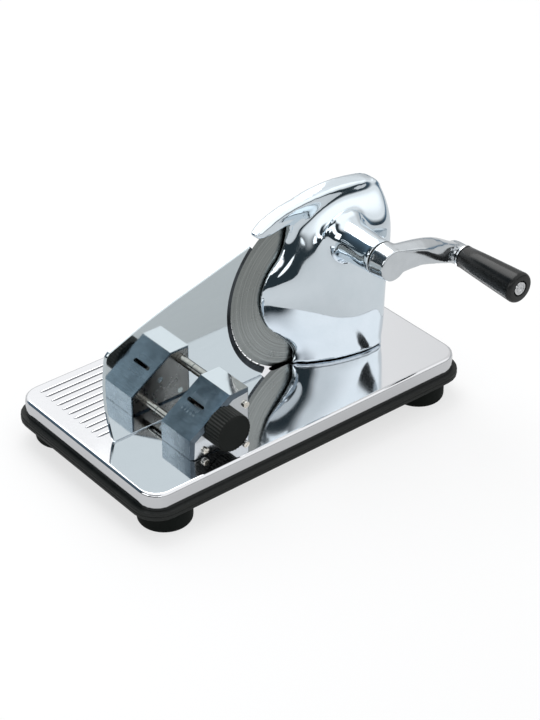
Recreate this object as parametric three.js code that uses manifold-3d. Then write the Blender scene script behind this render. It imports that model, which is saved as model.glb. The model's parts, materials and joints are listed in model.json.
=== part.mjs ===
// Hand crank food slicer. Millimetres, +Z up, +X along the base away from the operator,
// -Y towards the crank side, +Y the side where the food slides along its ribs.
// Everything is laid out from the middle of the base pan's top face; the last lines move the
// whole model so that its origin lies at the bottom centre of its bounding box.
import * as THREE from 'three';
import { mergeVertices } from 'three/addons/utils/BufferGeometryUtils.js';
import Module from 'manifold-3d';

const wasm = await Module();
wasm.setup();

// Clearances and reach of cuts
const SEAT_GAP = 0.3;      // between pieces that rest on each other
const RUN_GAP = 0.1;      // around a turning or sliding shaft, on the radius
const FIT_GAP = 0.15;      // around a fixed bush, pin or screw, on the radius
const THROUGH_Y = -120;    // end of a cut that goes right through a piece, from y = 0

// Base pan, a drawn stainless tray turned upside down
const PAN_LENGTH = 360;
const PAN_WIDTH = 204;
const PAN_CORNER = 17;
const PAN_EDGE_RADIUS = 3.6;
const PAN_DEPTH = 17.2;
const PAN_SHEET = 1.5;
const RIB_COUNT = 11;
const RIB_PITCH = 9.1;
const RIB_WIDTH = 3.2;
const RIB_HEIGHT = 1.2;
const RIB_START_X = -165;
const RIB_END_X = 112;
const RIB_NEAREST_Y = 1.9;

// Under frame and feet
const FRAME_OVERHANG = 5.2;
const FRAME_DEPTH = 7.6;
const FRAME_FLOOR = 2.6;
const FRAME_GROOVE = 0.7;
const FOOT_X = 152;
const FOOT_Y = 80;
const FOOT_RADIUS = 25.4;
const FOOT_HEIGHT = 21.3;
const FOOT_SCREW_RADIUS = 2.5;
const FOOT_SCREW_HEAD = 5;

// Blade and its gear train
const BLADE_RADIUS = 85;
const BLADE_X = 63;
const BLADE_Z = 78.5;
const BLADE_EDGE_Y = -11.5;
const BLADE_THICKNESS = 2.6;
const BLADE_BORE = 8;
const GEAR_MODULE = 2;
const CRANK_TEETH = 34;
const BLADE_TEETH = 27;
const GEAR_WIDTH = 5;
const COVER_THICKNESS = 1.8;
const GEAR_SIDE_GAP = 0.6;
const GEAR_TIP_GAP = 0.8;
const COVER_RIM = 3.6;
const COVER_LUG_RADIUS = 4.5;
const GEAR_LINE_DEG = 65.75;     // direction from the blade's axis to the crank's axis
const TOOTH_BACKLASH = 0.16;     // taken off each tooth's thickness

// Body casting
const BODY_BACK_Y = -10;
const BODY_FRONT_Y = -49.5;
const BODY_LEFT_X = 45.5;
const BODY_RIGHT_X = 152.8;
const BODY_FACE_RIGHT_X = 137;
const BODY_TOP_Z = 179;
const SHOULDER_Z = 125;            // where the far edge turns over into the top edge
const RAMP_LENGTH = 85;            // from the left edge to where the face is at its full depth
const GUARD_FRONT_Y = 26.5;       // how far the blade guard stands out
const GUARD_FACE = 19;            // height of the guard's upright face
const GUARD_BACKING_Y = -24;      // front of the metal behind the guard's face
const POCKET_GAP = 1.5;          // around the blade's edge
const BOSS_TIP_Y = -91;
const BOSS_TIP_RADIUS = 17;
const BOSS_ROOT_RADIUS = 19.6;
const BOSS_FLARE = 7;
const BODY_SCREW_RADIUS = 2.5;
const BODY_SCREW_REACH = 12;      // of a screw's tip above the pan
const HOUSING_SCREW_REACH = 5.5;

// Crank
const CRANK_ANGLE_DEG = -18;     // of the arm below the horizontal, at rest
const CRANK_RADIUS = 103;
const HUB_RADIUS = 17.2;
const HUB_FRONT_RADIUS = 14.9;
const HUB_LENGTH = 17;
const SHAFT_RADIUS = 7;
const WASHER_THICKNESS = 1.2;
const GRIP_LENGTH = 72.5;
const GRIP_INNER_RADIUS = 11;
const GRIP_OUTER_RADIUS = 15;
const GRIP_PIN_RADIUS = 4;
const COLLAR_THICKNESS = 1.6;

// Guide plate, its rods and its setting gear
const GUIDE_FRONT_Y = -15;
const GUIDE_THICKNESS = 4;
const GUIDE_LIFT = 0.6;
const GUIDE_ARC_GAP = 6;         // from the blade's edge to the plate's hollow edge
const SLIDE_TRAVEL = 18;
const ROD_UPPER = { x: -67, z: 41, radius: 4.6 };
const ROD_LOWER = { x: -109, z: 13.5, radius: 3.6 };
const HOUSING_LEFT_X = -122.5;
const HOUSING_RIGHT_X = -56.5;
const HOUSING_RIDGE_X = -77;
const HOUSING_LOW_Z = 20.5;
const HOUSING_TOP_Z = 50.5;
const HOUSING_FRONT_Y = -82.4;
const HOUSING_BACK_Y = -37;
const HOUSING_WALL = 2.6;
const HOUSING_REBATE = 1.2;
const SPINDLE_X = -89.5;
const SPINDLE_RADIUS = 4;
const KNOB_RADIUS = 18.4;
const KNOB_LENGTH = 18;
const KNOB_FLUTES = 26;
const SLOT_WIDTH = 4;
const POINTER_RADIUS = 1.3;

const group = new THREE.Group();

// Finishes of the pieces
function finish(color, roughness, metalness) {
  return new THREE.MeshStandardMaterial({ color, roughness, metalness });
}

const CHROME = () => finish(0xd6dadd, 0.08, 1);
const ALUMINIUM = () => finish(0xc2c8cc, 0.25, 1);
const STEEL = () => finish(0x9a9d9f, 0.35, 1);
const BRONZE = () => finish(0xb08a4a, 0.4, 1);
const RUBBER = () => finish(0x17181a, 0.8, 0);
const BLACK_PLASTIC = () => finish(0x151617, 0.4, 0);

// Turns a closed geometry into a solid that can be joined and cut
function solid(geometry) {
  const bare = new THREE.BufferGeometry();
  bare.setAttribute('position', geometry.getAttribute('position'));
  if (geometry.index) bare.setIndex(geometry.index);
  const merged = mergeVertices(bare, 1e-4);
  const position = merged.getAttribute('position').array;
  const index = merged.index.array;
  const triangles = [];
  for (let i = 0; i < index.length; i += 3) {
    const [a, b, c] = [index[i], index[i + 1], index[i + 2]];
    if (a !== b && b !== c && c !== a) triangles.push(a, b, c);
  }
  if (signedVolume(position, triangles) < 0) {
    for (let i = 0; i < triangles.length; i += 3) {
      [triangles[i + 1], triangles[i + 2]] = [triangles[i + 2], triangles[i + 1]];
    }
  }
  return new wasm.Manifold(new wasm.Mesh({
    numProp: 3,
    vertProperties: new Float32Array(position),
    triVerts: new Uint32Array(triangles),
  }));
}

function signedVolume(position, triangles) {
  const a = new THREE.Vector3();
  const b = new THREE.Vector3();
  const c = new THREE.Vector3();
  let sum = 0;
  for (let i = 0; i < triangles.length; i += 3) {
    a.fromArray(position, triangles[i] * 3);
    b.fromArray(position, triangles[i + 1] * 3);
    c.fromArray(position, triangles[i + 2] * 3);
    sum += a.dot(b.cross(c));
  }
  return sum / 6;
}

// Adds one finished piece to the model under its name
function piece(name, body, material) {
  const mesh = body.getMesh();
  const geometry = new THREE.BufferGeometry();
  geometry.setAttribute('position', new THREE.BufferAttribute(new Float32Array(mesh.vertProperties), 3));
  geometry.setIndex(new THREE.BufferAttribute(new Uint32Array(mesh.triVerts), 1));
  geometry.computeVertexNormals();
  const object = new THREE.Mesh(geometry, material);
  object.name = name;
  group.add(object);
}

// A body of rings, each with the same number of points, closed by a fan at both ends
function loft(rings) {
  const count = rings[0].length;
  const points = rings.flat();
  const triangles = [];
  for (let r = 0; r + 1 < rings.length; r += 1) {
    for (let i = 0; i < count; i += 1) {
      const a = r * count + i;
      const b = r * count + (i + 1) % count;
      triangles.push(a, b, b + count, a, b + count, a + count);
    }
  }
  for (const [ring, flip] of [[0, true], [rings.length - 1, false]]) {
    const centre = new THREE.Vector3();
    rings[ring].forEach((p) => centre.addScaledVector(p, 1 / count));
    const middle = points.length;
    points.push(centre);
    for (let i = 0; i < count; i += 1) {
      const a = ring * count + i;
      const b = ring * count + (i + 1) % count;
      triangles.push(...(flip ? [b, a, middle] : [a, b, middle]));
    }
  }
  const geometry = new THREE.BufferGeometry();
  geometry.setAttribute('position', new THREE.Float32BufferAttribute(points.flatMap((p) => p.toArray()), 3));
  geometry.setIndex(triangles);
  return solid(geometry);
}

// A turned body about the Y direction through (x, z); the profile is a list of [radius, y]
function turnedY(x, z, profile, segments = 24) {
  const closed = [...profile, profile[0]].map(([r, y]) => new THREE.Vector2(Math.max(r, 0), y));
  return solid(new THREE.LatheGeometry(closed, segments).translate(x, 0, z));
}

// A turned body about the Z direction through (x, y); the profile is a list of [radius, z]
function turnedZ(x, y, profile, segments = 24) {
  const closed = [...profile, profile[0]].map(([r, z]) => new THREE.Vector2(Math.max(r, 0), z));
  return solid(new THREE.LatheGeometry(closed, segments).rotateX(Math.PI / 2).translate(x, y, 0));
}

// A plain round bar along Y, from one y to the other
function barY(x, z, radius, from, to, segments = 24) {
  return turnedY(x, z, [[0, from], [radius, from], [radius, to], [0, to]], segments);
}

function barZ(x, y, radius, from, to, segments = 10) {
  return turnedZ(x, y, [[0, from], [radius, from], [radius, to], [0, to]], segments);
}

// A ring along Y with a bore
function ringY(x, z, inner, outer, from, to, segments = 24) {
  return turnedY(x, z, [[inner, from], [outer, from], [outer, to], [inner, to]], segments);
}

// A shape drawn in X and Z, carried from backY towards the viewer to frontY, with rounded rims
function slabXZ(shape, backY, frontY, bevel = 0, curveSegments = 24) {
  const drawn = shape.getPoints(curveSegments);
  const outline = drawn.filter((p, i) => p.distanceTo(drawn[(i + 1) % drawn.length]) > 0.05);
  if (THREE.ShapeUtils.area(outline) < 0) outline.reverse();
  const faces = THREE.ShapeUtils.triangulateShape(outline, []);
  const levels = bevel > 0 ? [[bevel, 0], [0, bevel]] : [[0, 0]];
  const rings = [
    ...levels.map(([inset, step]) => [inset, backY - step]),
    ...levels.reverse().map(([inset, step]) => [inset, frontY + step]),
  ];
  const count = outline.length;
  const points = rings.flatMap(([inset, y]) => insetOutline(outline, inset).map((p) => [p.x, y, p.y]));
  const triangles = [];
  for (let r = 0; r + 1 < rings.length; r += 1) {
    for (let i = 0; i < count; i += 1) {
      const a = r * count + i;
      const b = r * count + (i + 1) % count;
      triangles.push(a, b + count, b, a, a + count, b + count);
    }
  }
  const last = (rings.length - 1) * count;
  for (const [a, b, c] of faces) triangles.push(a, b, c, last + a, last + c, last + b);
  const geometry = new THREE.BufferGeometry();
  geometry.setAttribute('position', new THREE.Float32BufferAttribute(points.flat(), 3));
  geometry.setIndex(triangles);
  return solid(geometry);
}

// An anticlockwise outline drawn in by a distance, point by point
function insetOutline(outline, distance) {
  const count = outline.length;
  return outline.map((p, i) => {
    const before = new THREE.Vector2().subVectors(p, outline[(i + count - 1) % count]).normalize();
    const after = new THREE.Vector2().subVectors(outline[(i + 1) % count], p).normalize();
    const inward = new THREE.Vector2(-before.y - after.y, before.x + after.x).normalize();
    const along = Math.max(-inward.x * before.y + inward.y * before.x, 0.5);
    return p.clone().addScaledVector(inward, distance / along);
  });
}

// Closed outline of a rectangle with round corners at height z
function roundedRing(halfX, halfY, radius, z, steps = 6) {
  const ring = [];
  const corners = [[1, 1, 0], [-1, 1, 90], [-1, -1, 180], [1, -1, 270]];
  for (const [sx, sy, start] of corners) {
    for (let i = 0; i <= steps; i += 1) {
      const a = THREE.MathUtils.degToRad(start + (90 * i) / steps);
      ring.push(new THREE.Vector3(
        sx * (halfX - radius) + radius * Math.cos(a),
        sy * (halfY - radius) + radius * Math.sin(a),
        z,
      ));
    }
  }
  return ring;
}

// Places worked out from the sizes above
const gearLine = THREE.MathUtils.degToRad(GEAR_LINE_DEG);
const gearCentres = (GEAR_MODULE * (CRANK_TEETH + BLADE_TEETH)) / 2;
const crankX = BLADE_X + gearCentres * Math.cos(gearLine);
const crankZ = BLADE_Z + gearCentres * Math.sin(gearLine);
const pocketRadius = BLADE_RADIUS + POCKET_GAP;
const pocketFloorY = BLADE_EDGE_Y - 1.5 - BLADE_THICKNESS - 0.9;
const coverFrontY = pocketFloorY - COVER_THICKNESS;
const gearBackY = coverFrontY - GEAR_SIDE_GAP;
const gearFrontY = gearBackY - GEAR_WIDTH;
const chamberFrontY = gearFrontY - GEAR_SIDE_GAP;
const skirtOffset = PAN_EDGE_RADIUS;
const frameTopZ = -PAN_DEPTH - SEAT_GAP;
const frameBottomZ = frameTopZ - FRAME_DEPTH;
const footTopZ = frameBottomZ - SEAT_GAP;
const soleZ = footTopZ - FOOT_HEIGHT;
const panHalfX = PAN_LENGTH / 2;
const panHalfY = PAN_WIDTH / 2;
const footPlaces = {
  front_left: [-FOOT_X, -FOOT_Y],
  front_right: [FOOT_X, -FOOT_Y],
  rear_left: [-FOOT_X, FOOT_Y],
  rear_right: [FOOT_X, FOOT_Y],
};
const bodyScrewPlaces = [[72, -26], [99, -35], [126, -30]];
const housingScrewPlaces = [[-88, -54], [-74, -70]];

// Base pan: flat top, rolled edge and skirt, with pressed ribs and the slot the blade dips into
function basePan() {
  const ring = (offset, z) => roundedRing(panHalfX + offset, panHalfY + offset, PAN_CORNER + offset, z);
  const rings = [ring(0, 0)];
  const edgeSteps = 3;
  for (let i = 1; i <= edgeSteps; i += 1) {
    const a = (Math.PI / 2) * (i / edgeSteps);
    rings.push(ring(PAN_EDGE_RADIUS * Math.sin(a), -PAN_EDGE_RADIUS * (1 - Math.cos(a))));
  }
  rings.push(ring(skirtOffset, -PAN_DEPTH));
  rings.push(ring(skirtOffset - PAN_SHEET, -PAN_DEPTH));
  rings.push(ring(skirtOffset - PAN_SHEET, -PAN_EDGE_RADIUS));
  rings.push(ring(0, -PAN_SHEET));
  let body = loft(rings);
  for (let i = 0; i < RIB_COUNT; i += 1) body = body.add(panRib(RIB_NEAREST_Y + i * RIB_PITCH));
  for (const [x, y] of Object.values(footPlaces)) {
    const nut = barZ(x, y, FOOT_SCREW_RADIUS + 3.5, -PAN_SHEET - 0.01 + 0.3, frameFloorTopZ() + SEAT_GAP, 10);
    body = body.add(nut).subtract(barZ(x, y, FOOT_SCREW_RADIUS + FIT_GAP, -PAN_SHEET - 2, -30, 10));
  }
  for (const [x, y] of bodyScrewPlaces) {
    body = body.subtract(barZ(x, y, BODY_SCREW_RADIUS + FIT_GAP, 5, -5, 10));
  }
  for (const [x, y] of housingScrewPlaces) {
    body = body.subtract(barZ(x, y, BODY_SCREW_RADIUS + FIT_GAP, 5, -5, 10));
  }
  return body.subtract(bladeSlot());
}

function frameFloorTopZ() {
  return frameBottomZ + FRAME_FLOOR;
}

// One pressed rib along X, low and round on top, with sloping ends
function panRib(y) {
  const section = (x, scale) => [[-1, -0.4], [-0.55, 0.86], [0, 1], [0.55, 0.86], [1, -0.4]].map(
    ([across, up]) => new THREE.Vector3(x, y + (RIB_WIDTH / 2) * scale * across, RIB_HEIGHT * scale * up));
  return loft([
    section(RIB_START_X, 0.35), section(RIB_START_X + 4, 1),
    section(RIB_END_X - 4, 1), section(RIB_END_X, 0.35),
  ]);
}

// Slot in the pan's top under the blade's lowest part
function bladeSlot() {
  const reach = Math.sqrt(pocketRadius ** 2 - BLADE_Z ** 2) + 4;
  const nearY = BLADE_EDGE_Y - BLADE_THICKNESS - 2;
  const farY = BLADE_EDGE_Y + 2;
  const radius = (farY - nearY) / 2;
  const middleY = (nearY + farY) / 2;
  const shape = new THREE.Shape();
  shape.absarc(BLADE_X + reach - radius, middleY, radius, -Math.PI / 2, Math.PI / 2);
  shape.absarc(BLADE_X - reach + radius, middleY, radius, Math.PI / 2, 1.5 * Math.PI);
  const geometry = new THREE.ExtrudeGeometry(shape, { depth: 20, bevelEnabled: false, curveSegments: 8 });
  return solid(geometry.translate(0, 0, -15));
}

// Under frame: moulded tray whose flange stands out below the pan's skirt
function underFrame() {
  const outer = skirtOffset + FRAME_OVERHANG;
  const lip = skirtOffset - PAN_SHEET - 0.5;
  const ring = (offset, z) => roundedRing(panHalfX + offset, panHalfY + offset, PAN_CORNER + offset, z);
  const grooveZ = frameTopZ - FRAME_DEPTH * 0.42;
  let body = loft([
    ring(outer - 1, frameBottomZ),
    ring(outer, frameBottomZ + 1),
    ring(outer, grooveZ - 0.5),
    ring(outer - FRAME_GROOVE, grooveZ),
    ring(outer, grooveZ + 0.5),
    ring(outer, frameTopZ - 0.8),
    ring(outer - 0.8, frameTopZ),
    ring(lip, frameTopZ),
    ring(lip, frameTopZ + 8),
    ring(lip - 2, frameTopZ + 8),
    ring(lip - 2, frameFloorTopZ()),
  ]);
  for (const [x, y] of Object.values(footPlaces)) {
    body = body.subtract(barZ(x, y, FOOT_SCREW_RADIUS + FIT_GAP, 0, -60, 10));
  }
  return body;
}

// Rubber foot: a puck with a hollow sole and a deep hole for its screw's head
function foot(x, y) {
  const r = FOOT_RADIUS;
  return turnedZ(x, y, [
    [FOOT_SCREW_RADIUS + FIT_GAP, footTopZ],
    [r - 1.6, footTopZ],
    [r - 0.3, footTopZ - 1.4],
    [r, soleZ + 2.4],
    [r - 1.2, soleZ],
    [FOOT_SCREW_HEAD + 1, soleZ],
    [FOOT_SCREW_HEAD + 1, soleZ + 10],
    [FOOT_SCREW_RADIUS + FIT_GAP, soleZ + 10],
  ], 18);
}

// Foot screw: from below through foot and tray into the nut welded under the pan
function footScrew(x, y) {
  const headTop = soleZ + 10 - SEAT_GAP;
  return turnedZ(x, y, [
    [0, headTop - 3.4],
    [FOOT_SCREW_HEAD, headTop - 3.4],
    [FOOT_SCREW_HEAD, headTop],
    [FOOT_SCREW_RADIUS, headTop],
    [FOOT_SCREW_RADIUS, -PAN_SHEET - 4],
    [0, -PAN_SHEET - 4],
  ], 10);
}

// Left edge of the body casting, from its foot up to the blade guard
const bodyLeftEdge = new THREE.SplineCurve([
  [BODY_LEFT_X, 0], [BODY_LEFT_X, 17], [33, 34], [15, 54], [7, 82], [14.5, 106], [28, 121], [34, 132],
  [37, 144], [39, 158],
].map(([x, z]) => new THREE.Vector2(x, z)));

// Top edge of the casting, over the blade guard and round its far shoulder: x, and how far below the top
const bodyTopEdge = new THREE.SplineCurve([
  [39, 21], [44, 8], [57, 2.5], [75, 0.5], [93, 0], [117, 3], [136, 8], [147, 17], [151, 29],
  [BODY_RIGHT_X, BODY_TOP_Z - SHOULDER_Z],
].map(([x, below]) => new THREE.Vector2(x, BODY_TOP_Z - below)));

// Right edge of the casting, from its far shoulder down to its foot
const bodyRightEdge = new THREE.SplineCurve([
  [0, SHOULDER_Z], [-1.2, 100], [-4.2, 60], [-5.5, 25], [-6.5, 0],
].map(([x, z]) => new THREE.Vector2(BODY_RIGHT_X + x, z)));

// The casting's outline in X and Z, anticlockwise as seen from the front
function bodyOutline() {
  const left = bodyLeftEdge.getSpacedPoints(23);
  const top = bodyTopEdge.getSpacedPoints(20);
  const right = bodyRightEdge.getSpacedPoints(7);
  const bottom = new THREE.LineCurve(right.at(-1), left[0]).getSpacedPoints(8);
  const round = [left, top, right, bottom].flatMap((run) => run.slice(0, -1));
  return round.map((p) => new THREE.Vector2(p.x, p.y + SEAT_GAP));
}

// Height of an edge curve at x, or its x at height z, by walking its points
function walk(points, key, value, wanted) {
  for (let i = 0; i + 1 < points.length; i += 1) {
    const a = points[i];
    const b = points[i + 1];
    if ((value - a[key]) * (value - b[key]) <= 0 && a[key] !== b[key]) {
      return a[wanted] + ((b[wanted] - a[wanted]) * (value - a[key])) / (b[key] - a[key]);
    }
  }
  return value < Math.min(points[0][key], points.at(-1)[key]) ? points[0][wanted] : points.at(-1)[wanted];
}

// How far the face stands out in front of y = 0, by the distance below the top edge: a crisp
// rim, the guard's upright face, then a hollow that runs out on to the full face
const hoodPoints = new THREE.SplineCurve([
  [0, 20], [2, 22.5], [6, 23.8], [10, 25.2], [14, 28.2], [19, 33], [26, 39], [34, 44], [45, 48],
  [60, -BODY_FRONT_Y],
].map(([d, y]) => new THREE.Vector2(d, y))).getPoints(80);

// Where the face starts to swell, a calmer line just outside the left edge
const rampPoints = new THREE.SplineCurve([
  [50, -20], [40, 14], [18, 54], [7, 86], [20, 118], [34, 150], [40, 185],
].map(([x, z]) => new THREE.Vector2(x, z))).getPoints(80);

// Where the full face ends on the right, widest behind the boss
const faceRightPoints = new THREE.SplineCurve([
  [-8, -5], [-8.5, 30], [-7.5, 70], [-3.5, 108], [-1, 135], [-1.4, 155], [-3, 185],
].map(([x, z]) => new THREE.Vector2(BODY_FACE_RIGHT_X + x, z))).getPoints(60);

const leftPoints = bodyLeftEdge.getSpacedPoints(80);
const rightPoints = bodyRightEdge.getSpacedPoints(80);
const topPoints = bodyTopEdge.getSpacedPoints(80);

// Quarter of a superellipse: 0 at the edge, 1 at the full width
function swell(distance, width, power) {
  const t = THREE.MathUtils.clamp(distance / width, 0, 1);
  return (1 - (1 - t) ** power) ** (1 / power);
}

// The larger of two heights, with a soft change from one to the other
function blend(a, b) {
  const soft = 2.5;
  const h = Math.max(soft - Math.abs(a - b), 0) / soft;
  return Math.max(a, b) + (h * h * soft) / 4;
}

// y of the casting's sculpted front at (x, z)
function bodyFrontY(x, z) {
  const rimY = pocketFloorY - 0.2;
  const fromLeft = Math.max(x - walk(leftPoints, 'y', Math.min(z, 157), 'x'), 0);
  const alongRamp = Math.max(x - walk(rampPoints, 'y', z, 'x'), 0);
  const fromTop = Math.max(walk(topPoints, 'x', THREE.MathUtils.clamp(x, 39, 130), 'y') - z, 0);
  const rightX = walk(rightPoints, 'y', THREE.MathUtils.clamp(z, 0, SHOULDER_Z), 'x');
  const fromRight = Math.max(rightX - x, 0);
  const rightWidth = rightX - walk(faceRightPoints, 'y', z, 'x');
  const ramp = 1 - (1 - THREE.MathUtils.clamp(alongRamp / RAMP_LENGTH, 0, 1)) ** 2.2;
  const left = 0.1 * swell(fromLeft, 5, 2) + 0.9 * ramp;
  const right = 0.14 + 0.86 * swell(fromRight, rightWidth, 1.8);
  const bottom = 1 - 0.07 * (1 - swell(z, 4, 2));
  const fullY = -walk(hoodPoints, 'x', Math.min(fromTop, 59), 'y');
  const faceY = rimY + (fullY - rimY) * left * right * bottom;
  const lipShare = 1 - THREE.MathUtils.smoothstep(fromTop, GUARD_FACE - 7, GUARD_FACE + 3);
  const lipY = rimY + (Math.max(fullY, GUARD_BACKING_Y) - rimY) * lipShare * right;
  return -blend(-faceY, -lipY);
}

// The sculpted main form: rings drawn in from the outline to the middle of the face
function bodyForm() {
  const outline = bodyOutline();
  const middle = new THREE.Vector2(92, 104);
  const ring = (share, yAt) => outline.map((p) => {
    const x = p.x + (middle.x - p.x) * share;
    const z = Math.max(p.y + (middle.y - p.y) * share, SEAT_GAP);
    return new THREE.Vector3(x, yAt(x, z), z);
  });
  const rings = [
    ring(0.012, () => BODY_BACK_Y),
    ring(0, () => BODY_BACK_Y - 1),
  ];
  for (const share of [0, 0.014, 0.04, 0.08, 0.13, 0.19, 0.25, 0.31, 0.38, 0.47, 0.58, 0.72]) {
    rings.push(ring(share, bodyFrontY));
  }
  return loft(rings);
}

// Sections of the blade guard, from its tip over the blade to the casting's far shoulder:
// its top edge's x and depth below the casting's top, height of its front face, and how far front
// and back are set back
const guardSections = [
  { x: -3.2, below: 19.4, height: 3, front: 4, back: 8 },
  { x: -1.8, below: 18.8, height: 8, front: 1.4, back: 11.5 },
  { x: 2, below: 16.4, height: 11.5, front: 0.3, back: 14.5 },
  { x: 9, below: 13, height: 14.5, front: 0, back: 16.2 },
  { x: 21, below: 7.6, height: 17.5, front: 0, back: 16.5 },
  { x: 36, below: 3.5, height: 19.5, front: 0, back: 16.5 },
  { x: 54, below: 1.5, height: 19.5, front: 0, back: 16.4 },
  { x: 74, below: 0.5, height: 17.5, front: 0, back: 16 },
  { x: 93, below: 0.5, height: 14.5, front: 0, back: 16 },
  { x: 112, below: 2.5, height: 11.5, front: 0, back: 15.8 },
  { x: 127, below: 5.7, height: 9.5, front: 0.3, back: 15.4 },
  { x: 137, below: 9.4, height: 8, front: 1.4, back: 14.6 },
  { x: 143.5, below: 14, height: 5, front: 4, back: 12 },
];

// Blade guard: a lip that runs along the casting's top and out over the blade's top edge
function guardLip() {
  const edge = guardSections.map(({ x, below }) => new THREE.Vector2(x, BODY_TOP_Z - below));
  const rings = guardSections.map(({ height, front, back }, k) => {
    const p = edge[k];
    const before = edge[Math.max(k - 1, 0)];
    const after = edge[Math.min(k + 1, edge.length - 1)];
    const along = new THREE.Vector2().subVectors(after, before).normalize();
    const down = new THREE.Vector2(along.y, -along.x);
    const middleY = -GUARD_FRONT_Y + (front + back) / 2;
    const halfDepth = (back - front) / 2;
    const ring = [];
    const count = 16;
    for (let i = 0; i < count; i += 1) {
      const a = (2 * Math.PI * i) / count;
      const c = Math.cos(a);
      const s = Math.sin(a);
      const across = Math.sign(c) * Math.abs(c) ** 0.4 * halfDepth;
      const drop = (height / 2) * (1 + Math.sign(s) * Math.abs(s) ** 0.45);
      ring.push(new THREE.Vector3(p.x + down.x * drop, middleY - across, p.y + down.y * drop));
    }
    return ring;
  });
  return loft(rings);
}

// Boss that carries the crank shaft, flared where it leaves the casting
function crankBoss() {
  const rootY = bodyFrontY(crankX, crankZ);
  const profile = [[0, rootY + 8], [BOSS_ROOT_RADIUS + BOSS_FLARE, rootY + 8]];
  const steps = 4;
  for (let i = 0; i <= steps; i += 1) {
    const a = (Math.PI / 2) * (i / steps);
    profile.push([
      BOSS_ROOT_RADIUS + BOSS_FLARE * (1 - Math.sin(a)),
      rootY + 2.5 - BOSS_FLARE * (1 - Math.cos(a)),
    ]);
  }
  profile.push([BOSS_TIP_RADIUS, BOSS_TIP_Y + 0.8], [BOSS_TIP_RADIUS - 0.8, BOSS_TIP_Y], [0, BOSS_TIP_Y]);
  return turnedY(crankX, crankZ, profile, 26);
}

// Room for both gears, open to the back, as two round pockets that run into each other
function gearChamber(extra, fromY, toY) {
  const crankPocket = gearOuterRadius(CRANK_TEETH) + extra;
  const bladePocket = gearOuterRadius(BLADE_TEETH) + extra;
  const one = barY(crankX, crankZ, crankPocket, fromY, toY, 22);
  return one.add(barY(BLADE_X, BLADE_Z, bladePocket, fromY, toY, 24));
}

function gearOuterRadius(teeth) {
  return (GEAR_MODULE * (teeth + 2)) / 2;
}

const BUSH_WALL = 1.6;
const FRONT_BUSH_LENGTH = 16;
const REAR_BUSH_LENGTH = 12;
const bushOuter = SHAFT_RADIUS + RUN_GAP + BUSH_WALL;
const rearBushFrontY = chamberFrontY - REAR_BUSH_LENGTH;
const PILOT_RADIUS = 5;
const PILOT_DEPTH = 7;
const coverScrewPlaces = [
  lugPlace(crankX, crankZ, CRANK_TEETH, 180), lugPlace(crankX, crankZ, CRANK_TEETH, -12),
  lugPlace(BLADE_X, BLADE_Z, BLADE_TEETH, 185), lugPlace(BLADE_X, BLADE_Z, BLADE_TEETH, -40),
];

// Place of a screw lug just outside a gear's pocket, at an angle from +X
function lugPlace(x, z, teeth, degrees) {
  const a = THREE.MathUtils.degToRad(degrees);
  const r = gearOuterRadius(teeth) + COVER_RIM + 0.4;
  return [x + r * Math.cos(a), z + r * Math.sin(a)];
}

function bodyCasting() {
  let body = bodyForm().add(guardLip()).add(crankBoss());
  const pocketProfile = [
    [0, BODY_BACK_Y + 10], [pocketRadius, BODY_BACK_Y + 10], [pocketRadius, pocketFloorY], [0, pocketFloorY],
  ];
  body = body.subtract(turnedY(BLADE_X, BLADE_Z, pocketProfile, 56));
  body = body.subtract(gearChamber(GEAR_TIP_GAP, BODY_BACK_Y + 5, chamberFrontY));
  body = body.subtract(coverOutline(SEAT_GAP, BODY_BACK_Y + 5, coverFrontY));
  const shaftHole = turnedY(crankX, crankZ, [
    [0, chamberFrontY + 1],
    [bushOuter + FIT_GAP, chamberFrontY + 1],
    [bushOuter + FIT_GAP, rearBushFrontY],
    [SHAFT_RADIUS + 1, rearBushFrontY],
    [SHAFT_RADIUS + 1, BOSS_TIP_Y + FRONT_BUSH_LENGTH],
    [bushOuter + FIT_GAP, BOSS_TIP_Y + FRONT_BUSH_LENGTH],
    [bushOuter + FIT_GAP, BOSS_TIP_Y - 1],
    [0, BOSS_TIP_Y - 1],
  ]);
  body = body.subtract(shaftHole);
  body = body.subtract(barY(BLADE_X, BLADE_Z, PILOT_RADIUS + RUN_GAP, chamberFrontY + 1,
    chamberFrontY - PILOT_DEPTH));
  for (const [x, y] of bodyScrewPlaces) {
    body = body.subtract(barZ(x, y, BODY_SCREW_RADIUS + FIT_GAP, -1, BODY_SCREW_REACH + 2, 10));
  }
  for (const [x, z] of coverScrewPlaces) {
    body = body.subtract(barY(x, z, COVER_SCREW_RADIUS + FIT_GAP, BODY_BACK_Y, coverFrontY - 7, 10));
  }
  return body;
}

// Screw from under the pan into the foot of a casting
function screwFromBelow(x, y, length) {
  const headTop = -PAN_SHEET - SEAT_GAP;
  const r = BODY_SCREW_RADIUS;
  return turnedZ(x, y, [
    [0, headTop - 3.2], [r + 2, headTop - 3.2], [r + 2, headTop], [r, headTop], [r, length], [0, length],
  ], 10);
}

// Cover that closes the gear chamber and carries the inner ends of both shafts
const COVER_SCREW_RADIUS = 1.25;

// The cover's outline with its four screw lugs, widened by a gap for the pocket it lies in
function coverOutline(gap, fromY, toY) {
  let body = gearChamber(COVER_RIM + gap, fromY, toY);
  for (const [x, z] of coverScrewPlaces) body = body.add(barY(x, z, COVER_LUG_RADIUS + gap, fromY, toY, 12));
  return body;
}

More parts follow.
